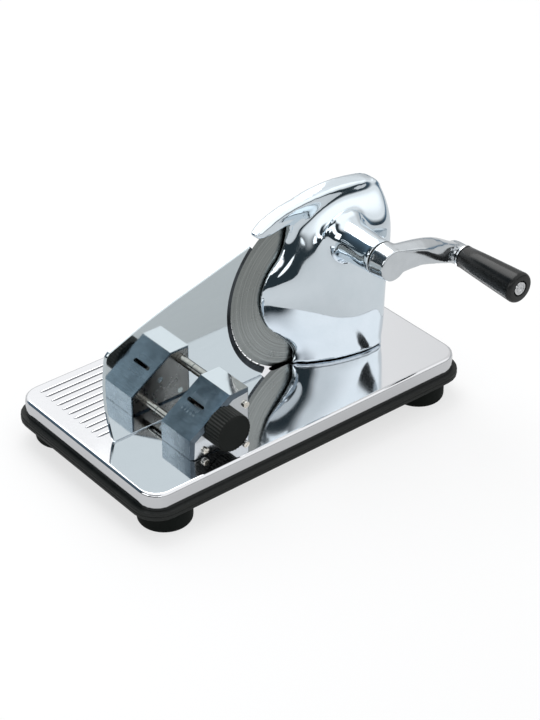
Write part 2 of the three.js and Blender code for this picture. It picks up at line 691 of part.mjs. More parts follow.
function gearCover() {
  let body = coverOutline(0, pocketFloorY - 0.3, coverFrontY + SEAT_GAP);
  body = body.subtract(barY(BLADE_X, BLADE_Z, bladeBushOuter + FIT_GAP, 0, THROUGH_Y));
  body = body.subtract(barY(crankX, crankZ, PILOT_RADIUS + RUN_GAP, 0, THROUGH_Y));
  for (const [x, z] of coverScrewPlaces) {
    body = body.subtract(barY(x, z, COVER_SCREW_RADIUS + FIT_GAP, 0, THROUGH_Y, 10));
    body = body.subtract(countersink(x, z, COVER_SCREW_RADIUS, pocketFloorY - 0.3, FIT_GAP));
  }
  return body;
}

function countersink(x, z, r, faceY, gap) {
  return turnedY(x, z, [
    [0, faceY + 0.5], [2 * r + gap, faceY + 0.5], [2 * r + gap, faceY], [r + gap, faceY - r], [0, faceY - r],
  ], 10);
}

function coverScrew(x, z) {
  const r = COVER_SCREW_RADIUS;
  const faceY = pocketFloorY - 0.4;
  return turnedY(x, z, [
    [0, faceY], [2 * r, faceY], [r, faceY - r], [r, coverFrontY - 6], [0, coverFrontY - 6],
  ], 10);
}

// Points of one involute gear's outline about the origin, first tooth pointing at the given angle
function gearOutline(teeth, pointing) {
  const pitch = (GEAR_MODULE * teeth) / 2;
  const base = pitch * Math.cos(THREE.MathUtils.degToRad(20));
  const outer = gearOuterRadius(teeth);
  const root = pitch - 1.25 * GEAR_MODULE;
  const spread = (radius) => {
    const t = Math.sqrt(Math.max((radius / base) ** 2 - 1, 0));
    return t - Math.atan(t);
  };
  const halfAtPitch = Math.PI / (2 * teeth) - TOOTH_BACKLASH / 2 / pitch;
  const half = (radius) => halfAtPitch + spread(pitch) - spread(Math.max(radius, base));
  const levels = [root, pitch, outer];
  const points = [];
  for (let k = 0; k < teeth; k += 1) {
    const centre = pointing + (2 * Math.PI * k) / teeth;
    for (const side of [-1, 1]) {
      const radii = side < 0 ? levels : [...levels].reverse();
      for (const radius of radii) {
        const a = centre + side * half(radius);
        points.push(new THREE.Vector2(radius * Math.cos(a), radius * Math.sin(a)));
      }
    }
  }
  return points;
}

// A spur gear about (x, z) with its bore and a thin web between hub and rim
function spurGear(x, z, teeth, bore, pointing) {
  const geometry = new THREE.ExtrudeGeometry(
    new THREE.Shape(gearOutline(teeth, pointing)), { depth: GEAR_WIDTH, bevelEnabled: false });
  let body = solid(geometry.rotateX(Math.PI / 2).translate(x, gearBackY, z));
  const rim = (GEAR_MODULE * teeth) / 2 - 6;
  const web = 2;
  body = body.subtract(ringY(x, z, bore + 5, rim, gearBackY + 1, gearBackY - web));
  return body.subtract(barY(x, z, bore, gearBackY + 1, gearFrontY - 1));
}

const GEAR_SEAT_RADIUS = 9;
const bladeBushInner = 11;
const bladeBushOuter = bladeBushInner + BUSH_WALL + RUN_GAP;

// Blade: thin dished disc, flat on the food side near its edge and conical on the other
function blade() {
  const y = BLADE_EDGE_Y;
  const hubBackY = y - 1.5;
  return turnedY(BLADE_X, BLADE_Z, [
    [BLADE_BORE + FIT_GAP, hubBackY],
    [57, hubBackY],
    [61, y - 0.1],
    [BLADE_RADIUS, y],
    [BLADE_RADIUS - 0.3, y - 0.35],
    [60, hubBackY - BLADE_THICKNESS + 0.4],
    [54, hubBackY - BLADE_THICKNESS],
    [BLADE_BORE + FIT_GAP, hubBackY - BLADE_THICKNESS],
  ], 72);
}

const bladeHubFrontY = BLADE_EDGE_Y - 1.5 - BLADE_THICKNESS;
const shaftShoulderY = bladeHubFrontY - SEAT_GAP;
const BLADE_SCREW_RADIUS = 3;

// Blade shaft: spigot for the blade, journal in the cover, gear seat and pilot in the casting
function bladeShaft() {
  return turnedY(BLADE_X, BLADE_Z, [
    [BLADE_SCREW_RADIUS + FIT_GAP, BLADE_EDGE_Y - 1.7],
    [BLADE_BORE, BLADE_EDGE_Y - 1.7],
    [BLADE_BORE, shaftShoulderY],
    [bladeBushInner, shaftShoulderY],
    [bladeBushInner, coverFrontY - 0.5],
    [GEAR_SEAT_RADIUS, coverFrontY - 0.5],
    [GEAR_SEAT_RADIUS, chamberFrontY + SEAT_GAP],
    [PILOT_RADIUS, chamberFrontY + SEAT_GAP],
    [PILOT_RADIUS, chamberFrontY - PILOT_DEPTH + SEAT_GAP],
    [0, chamberFrontY - PILOT_DEPTH + SEAT_GAP],
    [0, gearFrontY],
    [BLADE_SCREW_RADIUS + FIT_GAP, gearFrontY],
  ]);
}

function bladeBush() {
  return ringY(BLADE_X, BLADE_Z, bladeBushInner + RUN_GAP, bladeBushOuter, pocketFloorY - 0.3,
    coverFrontY + SEAT_GAP);
}

// Cap on the food side that clamps the blade, flush with its edge
const CAP_RADIUS = 26;

function bladeCap() {
  const back = BLADE_EDGE_Y - 1.5 + SEAT_GAP;
  const r = BLADE_SCREW_RADIUS;
  return turnedY(BLADE_X, BLADE_Z, [
    [r + 0.25, back],
    [CAP_RADIUS, back],
    [CAP_RADIUS, back + 0.4],
    [CAP_RADIUS - 1.2, BLADE_EDGE_Y + 0.1],
    [2.2 * r + 0.35, BLADE_EDGE_Y + 0.1],
  ], 32);
}

function bladeScrew() {
  const r = BLADE_SCREW_RADIUS;
  const back = BLADE_EDGE_Y - 1.5 + SEAT_GAP;
  return turnedY(BLADE_X, BLADE_Z, [
    [0, BLADE_EDGE_Y], [2.2 * r, BLADE_EDGE_Y], [r, back], [r, gearFrontY + 1.5], [0, gearFrontY + 1.5],
  ], 24);
}

// Crank shaft with its gear seat and the seat for the crank's hub
const hubBackY = BOSS_TIP_Y - WASHER_THICKNESS - 2 * SEAT_GAP;
const hubFrontY = hubBackY - HUB_LENGTH;
const HUB_SEAT_RADIUS = 6;

function crankShaft() {
  return turnedY(crankX, crankZ, [
    [0, pocketFloorY - 0.8],
    [PILOT_RADIUS, pocketFloorY - 0.8],
    [PILOT_RADIUS, coverFrontY - 0.5],
    [GEAR_SEAT_RADIUS, coverFrontY - 0.5],
    [GEAR_SEAT_RADIUS, chamberFrontY + SEAT_GAP],
    [SHAFT_RADIUS, chamberFrontY + SEAT_GAP],
    [SHAFT_RADIUS, hubBackY + SEAT_GAP],
    [HUB_SEAT_RADIUS, hubBackY + SEAT_GAP],
    [HUB_SEAT_RADIUS, hubFrontY + 4],
    [0, hubFrontY + 4],
  ]);
}

// Place on the crank at a distance along the arm and above its line
const armTurn = THREE.MathUtils.degToRad(CRANK_ANGLE_DEG);

function onCrank(along, above) {
  return {
    x: crankX + along * Math.cos(armTurn) - above * Math.sin(armTurn),
    z: crankZ + along * Math.sin(armTurn) + above * Math.cos(armTurn),
  };
}

const gripPlace = onCrank(CRANK_RADIUS, 0);
const gripBackY = -100;
const armEndY = gripBackY + COLLAR_THICKNESS + 2 * SEAT_GAP;

// Sections of the arm from hub to grip. Places: along the arm as a share of the crank's radius.
// Depths lie behind the hub's front face, as a share of the way back to the arm's end face.
// Heights lie above the line from hub to grip. Columns: along, front, low, flatTop, ridge, ridgeTop,
// back, top, backLow.
const armSections = [
  [0.02, 0, -12, 14.2, 0.02, 15, 1.36, 17.4, -14],
  [0.13, 0, -7.6, 14.4, 0.03, 15.4, 1.4, 19.4, -10.5],
  [0.26, 0, -3.7, 14.6, 0.05, 15.8, 1.48, 20.8, -6.6],
  [0.35, 0, -1.4, 13.8, 0.13, 16.2, 1.58, 21.2, -4.6],
  [0.45, 0.01, -1, 10, 0.34, 16.6, 1.74, 20.9, -4],
  [0.55, 0.06, -1.2, 5, 0.54, 16.8, 1.95, 19.8, -4.2],
  [0.65, 0.18, -1.9, 1.7, 0.72, 16, 2.2, 17.8, -5],
  [0.74, 0.48, -3.8, -0.6, 0.89, 14.4, 2.48, 15.2, -6.8],
  [0.81, 0.85, -5.8, -2.2, 1, 12.8, 2.62, 13.2, -8.4],
  [0.87, 1.05, -7.6, -3.4, 1.08, 11.4, 2.7, 11.6, -9.3],
  [0.94, 1.06, -9.2, -4, 1.09, 10.2, 2.76, 10.4, -9.8],
].map(([along, front, low, flatTop, ridge, ridgeTop, back, top, backLow]) => (
  { along, front, low, flatTop, ridge, ridgeTop, back, top, backLow }));
const ARM_EDGE = 2.6;     // rounding of the arm's long edges

// Closed outline with each corner replaced by a short curve
function roundedOutline(corners, rounding, steps = 2) {
  const points = [];
  corners.forEach((corner, i) => {
    const before = corners[(i + corners.length - 1) % corners.length];
    const after = corners[(i + 1) % corners.length];
    const start = corner.clone().lerp(before, Math.min(rounding / corner.distanceTo(before), 0.45));
    const end = corner.clone().lerp(after, Math.min(rounding / corner.distanceTo(after), 0.45));
    const curve = new THREE.QuadraticBezierCurve(start, corner, end);
    points.push(...curve.getPoints(steps));
  });
  return points;
}

// Arm: flat on its front face near the hub, scooped back from the top on its way to the grip
function crankArm() {
  const setBack = armEndY - hubFrontY;
  const rings = armSections.map((section) => {
    const corners = [
      [section.front, section.low], [section.front, section.flatTop], [section.ridge, section.ridgeTop],
      [section.back * 0.55 + section.ridge * 0.45, section.top * 0.98 + 0.4],
      [section.back, section.top - 3.4], [section.back, section.backLow],
    ].map(([depth, height]) => new THREE.Vector2(hubFrontY + depth * setBack, height));
    return roundedOutline(corners, ARM_EDGE).map((p) => {
      const place = onCrank(section.along * CRANK_RADIUS, p.y);
      return new THREE.Vector3(place.x, p.x, place.z);
    });
  });
  const arm = loft(rings);
  const hub = turnedY(crankX, crankZ, [
    [0, hubBackY], [HUB_RADIUS - 0.6, hubBackY], [HUB_RADIUS, hubBackY - 0.6],
    [HUB_FRONT_RADIUS + 0.4, hubFrontY + 0.8], [HUB_FRONT_RADIUS - 0.6, hubFrontY], [0, hubFrontY],
  ], 28);
  const knuckle = turnedY(gripPlace.x, gripPlace.z, [
    [0, armEndY + 22], [6, armEndY + 21], [9.4, armEndY + 18], [GRIP_INNER_RADIUS - 0.4, armEndY + 13],
    [GRIP_INNER_RADIUS - 0.4, armEndY], [0, armEndY],
  ], 24);
  let body = hub.add(arm).add(knuckle);
  body = body.subtract(barY(crankX, crankZ, HUB_SEAT_RADIUS + FIT_GAP, hubBackY + 1, hubFrontY + 3.5));
  body = body.subtract(barY(gripPlace.x, gripPlace.z, GRIP_PIN_RADIUS - 1 + FIT_GAP, armEndY - 1,
    armEndY + 9, 18));
  return body.subtract(grubScrewForm(FIT_GAP, 1));
}

// Grub screw through the underside of the hub on to the shaft, or its hole with a gap
function grubScrewForm(gap, longer) {
  const radius = 2 + gap;
  const length = HUB_FRONT_RADIUS - HUB_SEAT_RADIUS - 1 + 6 * longer;
  const geometry = new THREE.CylinderGeometry(radius, radius, length, 10);
  geometry.rotateX(Math.PI / 2);
  geometry.translate(0, 0, -(HUB_FRONT_RADIUS + HUB_SEAT_RADIUS) / 2 - longer);
  geometry.rotateY(-armTurn);
  geometry.translate(crankX, (hubBackY + hubFrontY) / 2, crankZ);
  return solid(geometry);
}

// Grip: tapered, thick end outwards, turning on a long pin screwed into the arm
const gripEndY = gripBackY - GRIP_LENGTH;
const PIN_HEAD_RADIUS = 6.6;
const PIN_HEAD_DEPTH = 2.4;

function gripHandle() {
  return turnedY(gripPlace.x, gripPlace.z, [
    [GRIP_PIN_RADIUS + RUN_GAP, gripBackY],
    [GRIP_INNER_RADIUS - 0.6, gripBackY],
    [GRIP_INNER_RADIUS, gripBackY - 0.8],
    [GRIP_OUTER_RADIUS, gripEndY + 3],
    [GRIP_OUTER_RADIUS - 0.8, gripEndY + 0.9],
    [GRIP_OUTER_RADIUS - 2.6, gripEndY],
    [PIN_HEAD_RADIUS + 1.2, gripEndY],
    [PIN_HEAD_RADIUS + 1.2, gripEndY + PIN_HEAD_DEPTH + SEAT_GAP],
    [GRIP_PIN_RADIUS + RUN_GAP, gripEndY + PIN_HEAD_DEPTH + SEAT_GAP],
  ], 26);
}

function gripPin() {
  return turnedY(gripPlace.x, gripPlace.z, [
    [0, gripEndY + 0.8],
    [1.6, gripEndY + 0.2],
    [PIN_HEAD_RADIUS - 1.4, gripEndY],
    [PIN_HEAD_RADIUS, gripEndY + 0.7],
    [PIN_HEAD_RADIUS, gripEndY + PIN_HEAD_DEPTH],
    [GRIP_PIN_RADIUS, gripEndY + PIN_HEAD_DEPTH],
    [GRIP_PIN_RADIUS, armEndY - SEAT_GAP],
    [GRIP_PIN_RADIUS - 1, armEndY - SEAT_GAP],
    [GRIP_PIN_RADIUS - 1, armEndY + 8],
    [0, armEndY + 8],
  ], 20);
}

function gripCollar() {
  return ringY(gripPlace.x, gripPlace.z, GRIP_PIN_RADIUS + FIT_GAP, GRIP_INNER_RADIUS + 0.3,
    gripBackY + SEAT_GAP + COLLAR_THICKNESS, gripBackY + SEAT_GAP);
}

// Guide plate: its hollow edge follows the blade
function guidePlate() {
  const arc = BLADE_RADIUS + GUIDE_ARC_GAP;
  const topZ = 143.3;
  const arcTop = Math.asin((topZ - BLADE_Z) / arc);
  const arcBottom = Math.asin((GUIDE_LIFT + 1.5 - BLADE_Z) / arc);
  const hollow = new THREE.EllipseCurve(
    BLADE_X, BLADE_Z, arc, arc, Math.PI - arcBottom, Math.PI - arcTop, true).getPoints(30);
  const tip = hollow.at(-1);
  const top = new THREE.SplineCurve([
    [tip.x - 3.6, tip.y + 0.8], [-32, 136.3], [-58.5, 129], [-86.5, 121.5], [-125, 109.3], [-158.5, 96.2],
  ].map(([x, z]) => new THREE.Vector2(x, z))).getPoints(10);
  const left = new THREE.SplineCurve([
    [-158.5, 96.2], [-161.6, 93.6], [-163.6, 88], [-166, 64], [-165.2, 38], [-161.4, 12], [-159.6, 3.6],
    [-158.2, 1.2], [-155.5, GUIDE_LIFT],
  ].map(([x, z]) => new THREE.Vector2(x, z))).getPoints(16);
  const outline = [
    new THREE.Vector2(hollow[0].x - 1.5, GUIDE_LIFT), ...hollow,
    new THREE.Vector2(tip.x - 0.5, tip.y + 1.2), ...top, ...left.slice(1),
  ];
  const shape = new THREE.Shape(outline);
  let body = slabXZ(shape, GUIDE_FRONT_Y + GUIDE_THICKNESS, GUIDE_FRONT_Y, 1);
  for (const rod of [ROD_UPPER, ROD_LOWER]) body = body.subtract(rodScrewForm(rod, FIT_GAP));
  return body;
}

const ROD_SCREW_RADIUS = 2;

// Countersunk screw through the guide plate into the end of a rod
function rodScrewForm(rod, gap) {
  const r = ROD_SCREW_RADIUS;
  const faceY = GUIDE_FRONT_Y + GUIDE_THICKNESS;
  const headY = gap > 0 ? faceY + 0.5 : faceY - 0.1;
  return turnedY(rod.x, rod.z, [
    [0, headY], [2 * r + gap, headY], [2 * r + gap, faceY - 0.1], [r + gap, faceY - 0.1 - r],
    [r + gap, GUIDE_FRONT_Y - 8 - gap], [0, GUIDE_FRONT_Y - 8 - gap],
  ], 10);
}

const yokeBackY = HOUSING_BACK_Y - 6.4;
const YOKE_THICKNESS = 6;
const YOKE_HALF = 6;              // half of its height across the line between the rods
const yokeFrontY = yokeBackY - YOKE_THICKNESS;

// Guide rod: joined to the plate at one end and to the yoke inside the housing at the other
function guideRod(rod) {
  const backY = GUIDE_FRONT_Y - SEAT_GAP;
  const frontY = yokeFrontY - 4;
  const body = turnedY(rod.x, rod.z, [
    [0, backY], [rod.radius - 0.4, backY], [rod.radius, backY - 0.4],
    [rod.radius, frontY + 0.6], [rod.radius - 0.6, frontY], [0, frontY],
  ], 24);
  const hole = barY(rod.x, rod.z, ROD_SCREW_RADIUS + FIT_GAP, backY + 1, GUIDE_FRONT_Y - 9, 10);
  return body.subtract(hole);
}

const slope = Math.atan2(HOUSING_TOP_Z - HOUSING_LOW_Z, HOUSING_RIDGE_X - HOUSING_LEFT_X);
const rodLine = Math.atan2(ROD_UPPER.z - ROD_LOWER.z, ROD_UPPER.x - ROD_LOWER.x);
const spindlePlace = { x: SPINDLE_X, z: ROD_LOWER.z + (SPINDLE_X - ROD_LOWER.x) * Math.tan(rodLine) };

// Housing's section in X and Z, drawn in by a wall's thickness
function housingShape(inset) {
  const low = HOUSING_LOW_Z - inset * (1 / Math.cos(slope)) + inset * Math.tan(slope);
  const ridge = HOUSING_RIDGE_X + inset * Math.tan(slope / 2);
  const shape = new THREE.Shape();
  shape.moveTo(HOUSING_LEFT_X + inset, SEAT_GAP + inset);
  shape.lineTo(HOUSING_RIGHT_X - inset, SEAT_GAP + inset);
  shape.lineTo(HOUSING_RIGHT_X - inset, HOUSING_TOP_Z - inset);
  shape.lineTo(ridge, HOUSING_TOP_Z - inset);
  shape.lineTo(HOUSING_LEFT_X + inset, low);
  shape.closePath();
  return shape;
}

const BACK_PLATE_THICKNESS = 5;
const BACK_SCREW_REACH = 11;        // of a screw's tip in front of the back plate
const backPlateFrontY = HOUSING_BACK_Y - BACK_PLATE_THICKNESS;
const housingInnerFrontY = HOUSING_FRONT_Y + HOUSING_WALL;
const frontScrewPlaces = [[-108, 6.2], [-62.2, 36], [-62.2, 7.4]];
const BACK_POST_RADIUS = 3.3;
const backScrewPlaces = [[-67.5, 5.7], [-97, 5.7]];
const FRONT_SCREW_RADIUS = 1.5;
const FRONT_SCREW_HEAD = 3.3;
const BEARING_PLATE_THICKNESS = 3;

// Scale housing: sloping top with the thickness slot, open at the back
function scaleHousing() {
  let body = slabXZ(housingShape(0), HOUSING_BACK_Y, HOUSING_FRONT_Y, 0.8);
  const hollow = slabXZ(housingShape(HOUSING_WALL), backPlateFrontY + 0.01, housingInnerFrontY);
  const rebate = slabXZ(housingShape(HOUSING_WALL - HOUSING_REBATE), HOUSING_BACK_Y + 2,
    backPlateFrontY - SEAT_GAP);
  body = body.subtract(hollow);
  for (const [x, z] of backScrewPlaces) {
    body = body.add(barY(x, z, BACK_POST_RADIUS, backPlateFrontY - SEAT_GAP - 1, housingInnerFrontY - 1, 10));
  }
  for (const [x, y] of housingScrewPlaces) {
    body = body.add(barZ(x, y, BODY_SCREW_RADIUS + 2, HOUSING_WALL - 1, HOUSING_WALL + 4, 10));
  }
  body = body.subtract(rebate);
  for (const [x, z] of backScrewPlaces) {
    body = body.subtract(barY(x, z, FRONT_SCREW_RADIUS + FIT_GAP, 0,
      backPlateFrontY - BACK_SCREW_REACH - 1, 10));
  }
  for (const [x, z] of frontScrewPlaces) {
    body = body.subtract(barY(x, z, FRONT_SCREW_RADIUS + FIT_GAP, housingInnerFrontY + 1,
      HOUSING_FRONT_Y - 1, 10));
  }
  body = body.subtract(barY(spindlePlace.x, spindlePlace.z, SPINDLE_RADIUS + RUN_GAP, housingInnerFrontY + 1,
    HOUSING_FRONT_Y - 1, 22));
  for (const [x, y] of housingScrewPlaces) {
    body = body.subtract(barZ(x, y, BODY_SCREW_RADIUS + FIT_GAP, -1, HOUSING_SCREW_REACH + SEAT_GAP, 10));
  }
  return body.subtract(scaleSlot());
}

const pointerRestY = yokeBackY - YOKE_THICKNESS / 2;

// Slot in the sloping face that shows the pointer over the whole travel
function scaleSlot() {
  const farY = pointerRestY + POINTER_RADIUS + 1.2;
  const nearY = pointerRestY - SLIDE_TRAVEL - POINTER_RADIUS - 1.2;
  const half = SLOT_WIDTH / 2;
  const shape = new THREE.Shape();
  shape.absarc(0, nearY + half, half, Math.PI, 2 * Math.PI);
  shape.absarc(0, farY - half, half, 0, Math.PI);
  const geometry = new THREE.ExtrudeGeometry(shape, { depth: 14, bevelEnabled: false, curveSegments: 8 });
  geometry.rotateY(-slope);
  return solid(geometry.translate(spindlePlace.x, 0, spindlePlace.z).translate(
    -Math.sin(slope) * 7.5, 0, Math.cos(slope) * 7.5));
}

function housingBackPlate() {
  let body = slabXZ(housingShape(HOUSING_WALL - HOUSING_REBATE + FIT_GAP), HOUSING_BACK_Y, backPlateFrontY);
  for (const rod of [ROD_UPPER, ROD_LOWER]) {
    body = body.subtract(barY(rod.x, rod.z, rod.radius + RUN_GAP, 0, THROUGH_Y, 24));
  }
  body = body.subtract(barY(spindlePlace.x, spindlePlace.z, SPINDLE_RADIUS - 1 + RUN_GAP, 0, THROUGH_Y, 22));
  for (const [x, z] of backScrewPlaces) {
    body = body.subtract(barY(x, z, FRONT_SCREW_RADIUS + FIT_GAP, 0, THROUGH_Y, 10));
    body = body.subtract(countersink(x, z, FRONT_SCREW_RADIUS, HOUSING_BACK_Y, FIT_GAP));
  }
  return body;
}

function backPlateScrew(x, z) {
  const r = FRONT_SCREW_RADIUS;
  const faceY = HOUSING_BACK_Y - 0.1;
  return turnedY(x, z, [
    [0, faceY], [2 * r, faceY], [r, faceY - r], [r, backPlateFrontY - BACK_SCREW_REACH],
    [0, backPlateFrontY - BACK_SCREW_REACH],
  ], 10);
}

// Bearing plate behind the housing's front wall, held by the three cheese head screws
function bearingPlate() {
  const backY = housingInnerFrontY + SEAT_GAP + BEARING_PLATE_THICKNESS;
  let body = slabXZ(housingShape(HOUSING_WALL + 0.4), backY, housingInnerFrontY + SEAT_GAP);
  for (const [x, z] of frontScrewPlaces) {
    body = body.subtract(barY(x, z, FRONT_SCREW_RADIUS + FIT_GAP, 0, THROUGH_Y, 10));
  }
  for (const [x, z] of backScrewPlaces) {
    body = body.subtract(barY(x, z, BACK_POST_RADIUS + SEAT_GAP, 0, THROUGH_Y, 10));
  }
  return body.subtract(barY(spindlePlace.x, spindlePlace.z, SPINDLE_RADIUS + RUN_GAP, 0, THROUGH_Y, 22));
}

function cheeseScrew(x, z) {
  const head = HOUSING_FRONT_Y - SEAT_GAP;
  const tipY = housingInnerFrontY + SEAT_GAP + BEARING_PLATE_THICKNESS - 0.2;
  return turnedY(x, z, [
    [0, head - 2.2], [FRONT_SCREW_HEAD - 0.5, head - 2.2], [FRONT_SCREW_HEAD, head - 1.7],
    [FRONT_SCREW_HEAD, head], [FRONT_SCREW_RADIUS, head], [FRONT_SCREW_RADIUS, tipY], [0, tipY],
  ], 10);
}

// Yoke that rides on the spindle and draws both rods along
function carriageYoke() {
  const shape = new THREE.Shape();
  const start = rodLine + Math.PI / 2;
  shape.absarc(ROD_LOWER.x, ROD_LOWER.z, YOKE_HALF, start, start + Math.PI);
  shape.absarc(ROD_UPPER.x, ROD_UPPER.z, YOKE_HALF, start + Math.PI, start + 2 * Math.PI);
  let body = slabXZ(shape, yokeBackY, yokeFrontY, 0, 6);
  for (const rod of [ROD_UPPER, ROD_LOWER]) {
    body = body.subtract(barY(rod.x, rod.z, rod.radius + FIT_GAP, 0, THROUGH_Y, 24));
  }
  body = body.subtract(barY(spindlePlace.x, spindlePlace.z, SPINDLE_RADIUS + RUN_GAP, 0, THROUGH_Y, 22));
  return body;
}

// Pointer pin that stands on the yoke square to the sloping face
function thicknessPointer() {
  const bottom = YOKE_HALF + SEAT_GAP;
  const top = slopeDistance() - 0.5;
  const geometry = new THREE.CylinderGeometry(POINTER_RADIUS, POINTER_RADIUS, top - bottom, 10);
  geometry.rotateX(Math.PI / 2).translate(0, 0, (top + bottom) / 2).rotateY(-slope);
  return solid(geometry.translate(spindlePlace.x, pointerRestY, spindlePlace.z));
}

// Distance from the spindle's axis to the sloping face
function slopeDistance() {
  const dx = spindlePlace.x - HOUSING_LEFT_X;
  const dz = spindlePlace.z - HOUSING_LOW_Z;
  return dx * Math.sin(slope) - dz * Math.cos(slope);
}

const knobBackY = HOUSING_FRONT_Y - 0.5;
const knobFrontY = knobBackY - KNOB_LENGTH;
const CLIP_THICKNESS = 1.2;
const bearingBackY = housingInnerFrontY + SEAT_GAP + BEARING_PLATE_THICKNESS;
const clipBackY = bearingBackY + SEAT_GAP + CLIP_THICKNESS;

// Setting spindle, with a groove for its clip and a pilot in the back plate
function settingSpindle() {
  return turnedY(spindlePlace.x, spindlePlace.z, [
    [0, HOUSING_BACK_Y - 0.6],
    [SPINDLE_RADIUS - 1, HOUSING_BACK_Y - 0.6],
    [SPINDLE_RADIUS - 1, backPlateFrontY - SEAT_GAP],
    [SPINDLE_RADIUS, backPlateFrontY - SEAT_GAP],
    [SPINDLE_RADIUS, clipBackY + 0.1],
    [SPINDLE_RADIUS - 0.8, clipBackY + 0.1],
    [SPINDLE_RADIUS - 0.8, clipBackY - CLIP_THICKNESS - 0.1],
    [SPINDLE_RADIUS, clipBackY - CLIP_THICKNESS - 0.1],
    [SPINDLE_RADIUS, knobFrontY + 4.5],
    [0, knobFrontY + 4.5],
  ], 20);
}

function spindleClip() {
  return ringY(spindlePlace.x, spindlePlace.z, SPINDLE_RADIUS - 0.8 + 0.1, SPINDLE_RADIUS + 2.4,
    clipBackY, clipBackY - CLIP_THICKNESS, 22);
}

// Setting knob: fluted all round, flat in front
function settingKnob() {
  const shape = new THREE.Shape();
  const outline = [];
  for (let i = 0; i < KNOB_FLUTES; i += 1) {
    const step = (2 * Math.PI) / KNOB_FLUTES;
    for (const [turn, r] of [[-0.2, KNOB_RADIUS], [0.2, KNOB_RADIUS], [0.5, KNOB_RADIUS - 0.9]]) {
      const a = (i + turn) * step;
      outline.push(new THREE.Vector2(r * Math.cos(a), r * Math.sin(a)));
    }
  }
  shape.setFromPoints(outline);
  const length = KNOB_LENGTH;
  const geometry = new THREE.ExtrudeGeometry(shape, { depth: length, bevelEnabled: false });
  let body = solid(geometry.rotateX(Math.PI / 2).translate(spindlePlace.x, knobBackY, spindlePlace.z));
  const envelope = turnedY(spindlePlace.x, spindlePlace.z, [
    [0, knobBackY], [KNOB_RADIUS - 0.8, knobBackY], [KNOB_RADIUS + 0.1, knobBackY - 0.9],
    [KNOB_RADIUS + 0.1, knobFrontY + 1.2], [KNOB_RADIUS - 1.1, knobFrontY], [0, knobFrontY],
  ], 26);
  body = body.intersect(envelope);
  body = body.subtract(barY(spindlePlace.x, spindlePlace.z, SPINDLE_RADIUS + FIT_GAP, knobBackY + 1,
    knobFrontY + 4, 22));
  return body.subtract(knobGrub(FIT_GAP, 3));
}

// Grub screw that holds the knob on its spindle, from below
function knobGrub(gap, longer) {
  const length = KNOB_RADIUS - SPINDLE_RADIUS - 5;
  const geometry = new THREE.CylinderGeometry(1.6 + gap, 1.6 + gap, length + 4 * longer, 18);
  geometry.rotateX(Math.PI / 2).translate(0, 0, -(SPINDLE_RADIUS + 0.6 + (length + 4 * longer) / 2));
  return solid(geometry.translate(spindlePlace.x, knobBackY - 6, spindlePlace.z));
}

// The whole slicer, piece by piece
piece('base_pan', basePan(), CHROME());
piece('under_frame', underFrame(), BLACK_PLASTIC());
for (const [corner, [x, y]] of Object.entries(footPlaces)) {
  piece(`foot_${corner}`, foot(x, y), RUBBER());
  piece(`foot_screw_${corner}`, footScrew(x, y), STEEL());
}

piece('body_casting', bodyCasting(), CHROME());
bodyScrewPlaces.forEach(([x, y], i) => piece(
  `body_screw_${i + 1}`, screwFromBelow(x, y, BODY_SCREW_REACH), STEEL()));
piece('gear_cover', gearCover(), ALUMINIUM());
coverScrewPlaces.forEach(([x, z], i) => piece(`gear_cover_screw_${i + 1}`, coverScrew(x, z), STEEL()));
piece('crank_bush_front', ringY(crankX, crankZ, SHAFT_RADIUS + RUN_GAP, bushOuter, BOSS_TIP_Y,
  BOSS_TIP_Y + FRONT_BUSH_LENGTH - SEAT_GAP), BRONZE());
piece('crank_bush_rear', ringY(crankX, crankZ, SHAFT_RADIUS + RUN_GAP, bushOuter, rearBushFrontY + SEAT_GAP,
  chamberFrontY), BRONZE());
piece('blade_bush', bladeBush(), BRONZE());

piece('blade', blade(), STEEL());
piece('blade_shaft', bladeShaft(), STEEL());
piece('blade_gear', spurGear(BLADE_X, BLADE_Z, BLADE_TEETH, GEAR_SEAT_RADIUS + FIT_GAP,
  gearLine + Math.PI / BLADE_TEETH), STEEL());
piece('blade_cap', bladeCap(), STEEL());
piece('blade_screw', bladeScrew(), STEEL());

piece('crank_gear', spurGear(crankX, crankZ, CRANK_TEETH, GEAR_SEAT_RADIUS + FIT_GAP,
  gearLine + Math.PI), STEEL());
piece('crank_shaft', crankShaft(), STEEL());
piece('crank_washer', ringY(crankX, crankZ, SHAFT_RADIUS + FIT_GAP, BOSS_TIP_RADIUS - 0.4,
  BOSS_TIP_Y - SEAT_GAP, BOSS_TIP_Y - SEAT_GAP - WASHER_THICKNESS), BLACK_PLASTIC());
piece('crank_arm', crankArm(), CHROME());
piece('crank_grub_screw', grubScrewForm(0, 0), STEEL());
piece('grip_collar', gripCollar(), CHROME());
piece('grip_pin', gripPin(), STEEL());
piece('grip_handle', gripHandle(), BLACK_PLASTIC());

piece('guide_plate', guidePlate(), CHROME());
piece('guide_rod_upper', guideRod(ROD_UPPER), STEEL());
piece('guide_rod_lower', guideRod(ROD_LOWER), STEEL());
piece('rod_screw_upper', rodScrewForm(ROD_UPPER, 0), STEEL());
piece('rod_screw_lower', rodScrewForm(ROD_LOWER, 0), STEEL());
piece('carriage_yoke', carriageYoke(), STEEL());
piece('thickness_pointer', thicknessPointer(), STEEL());

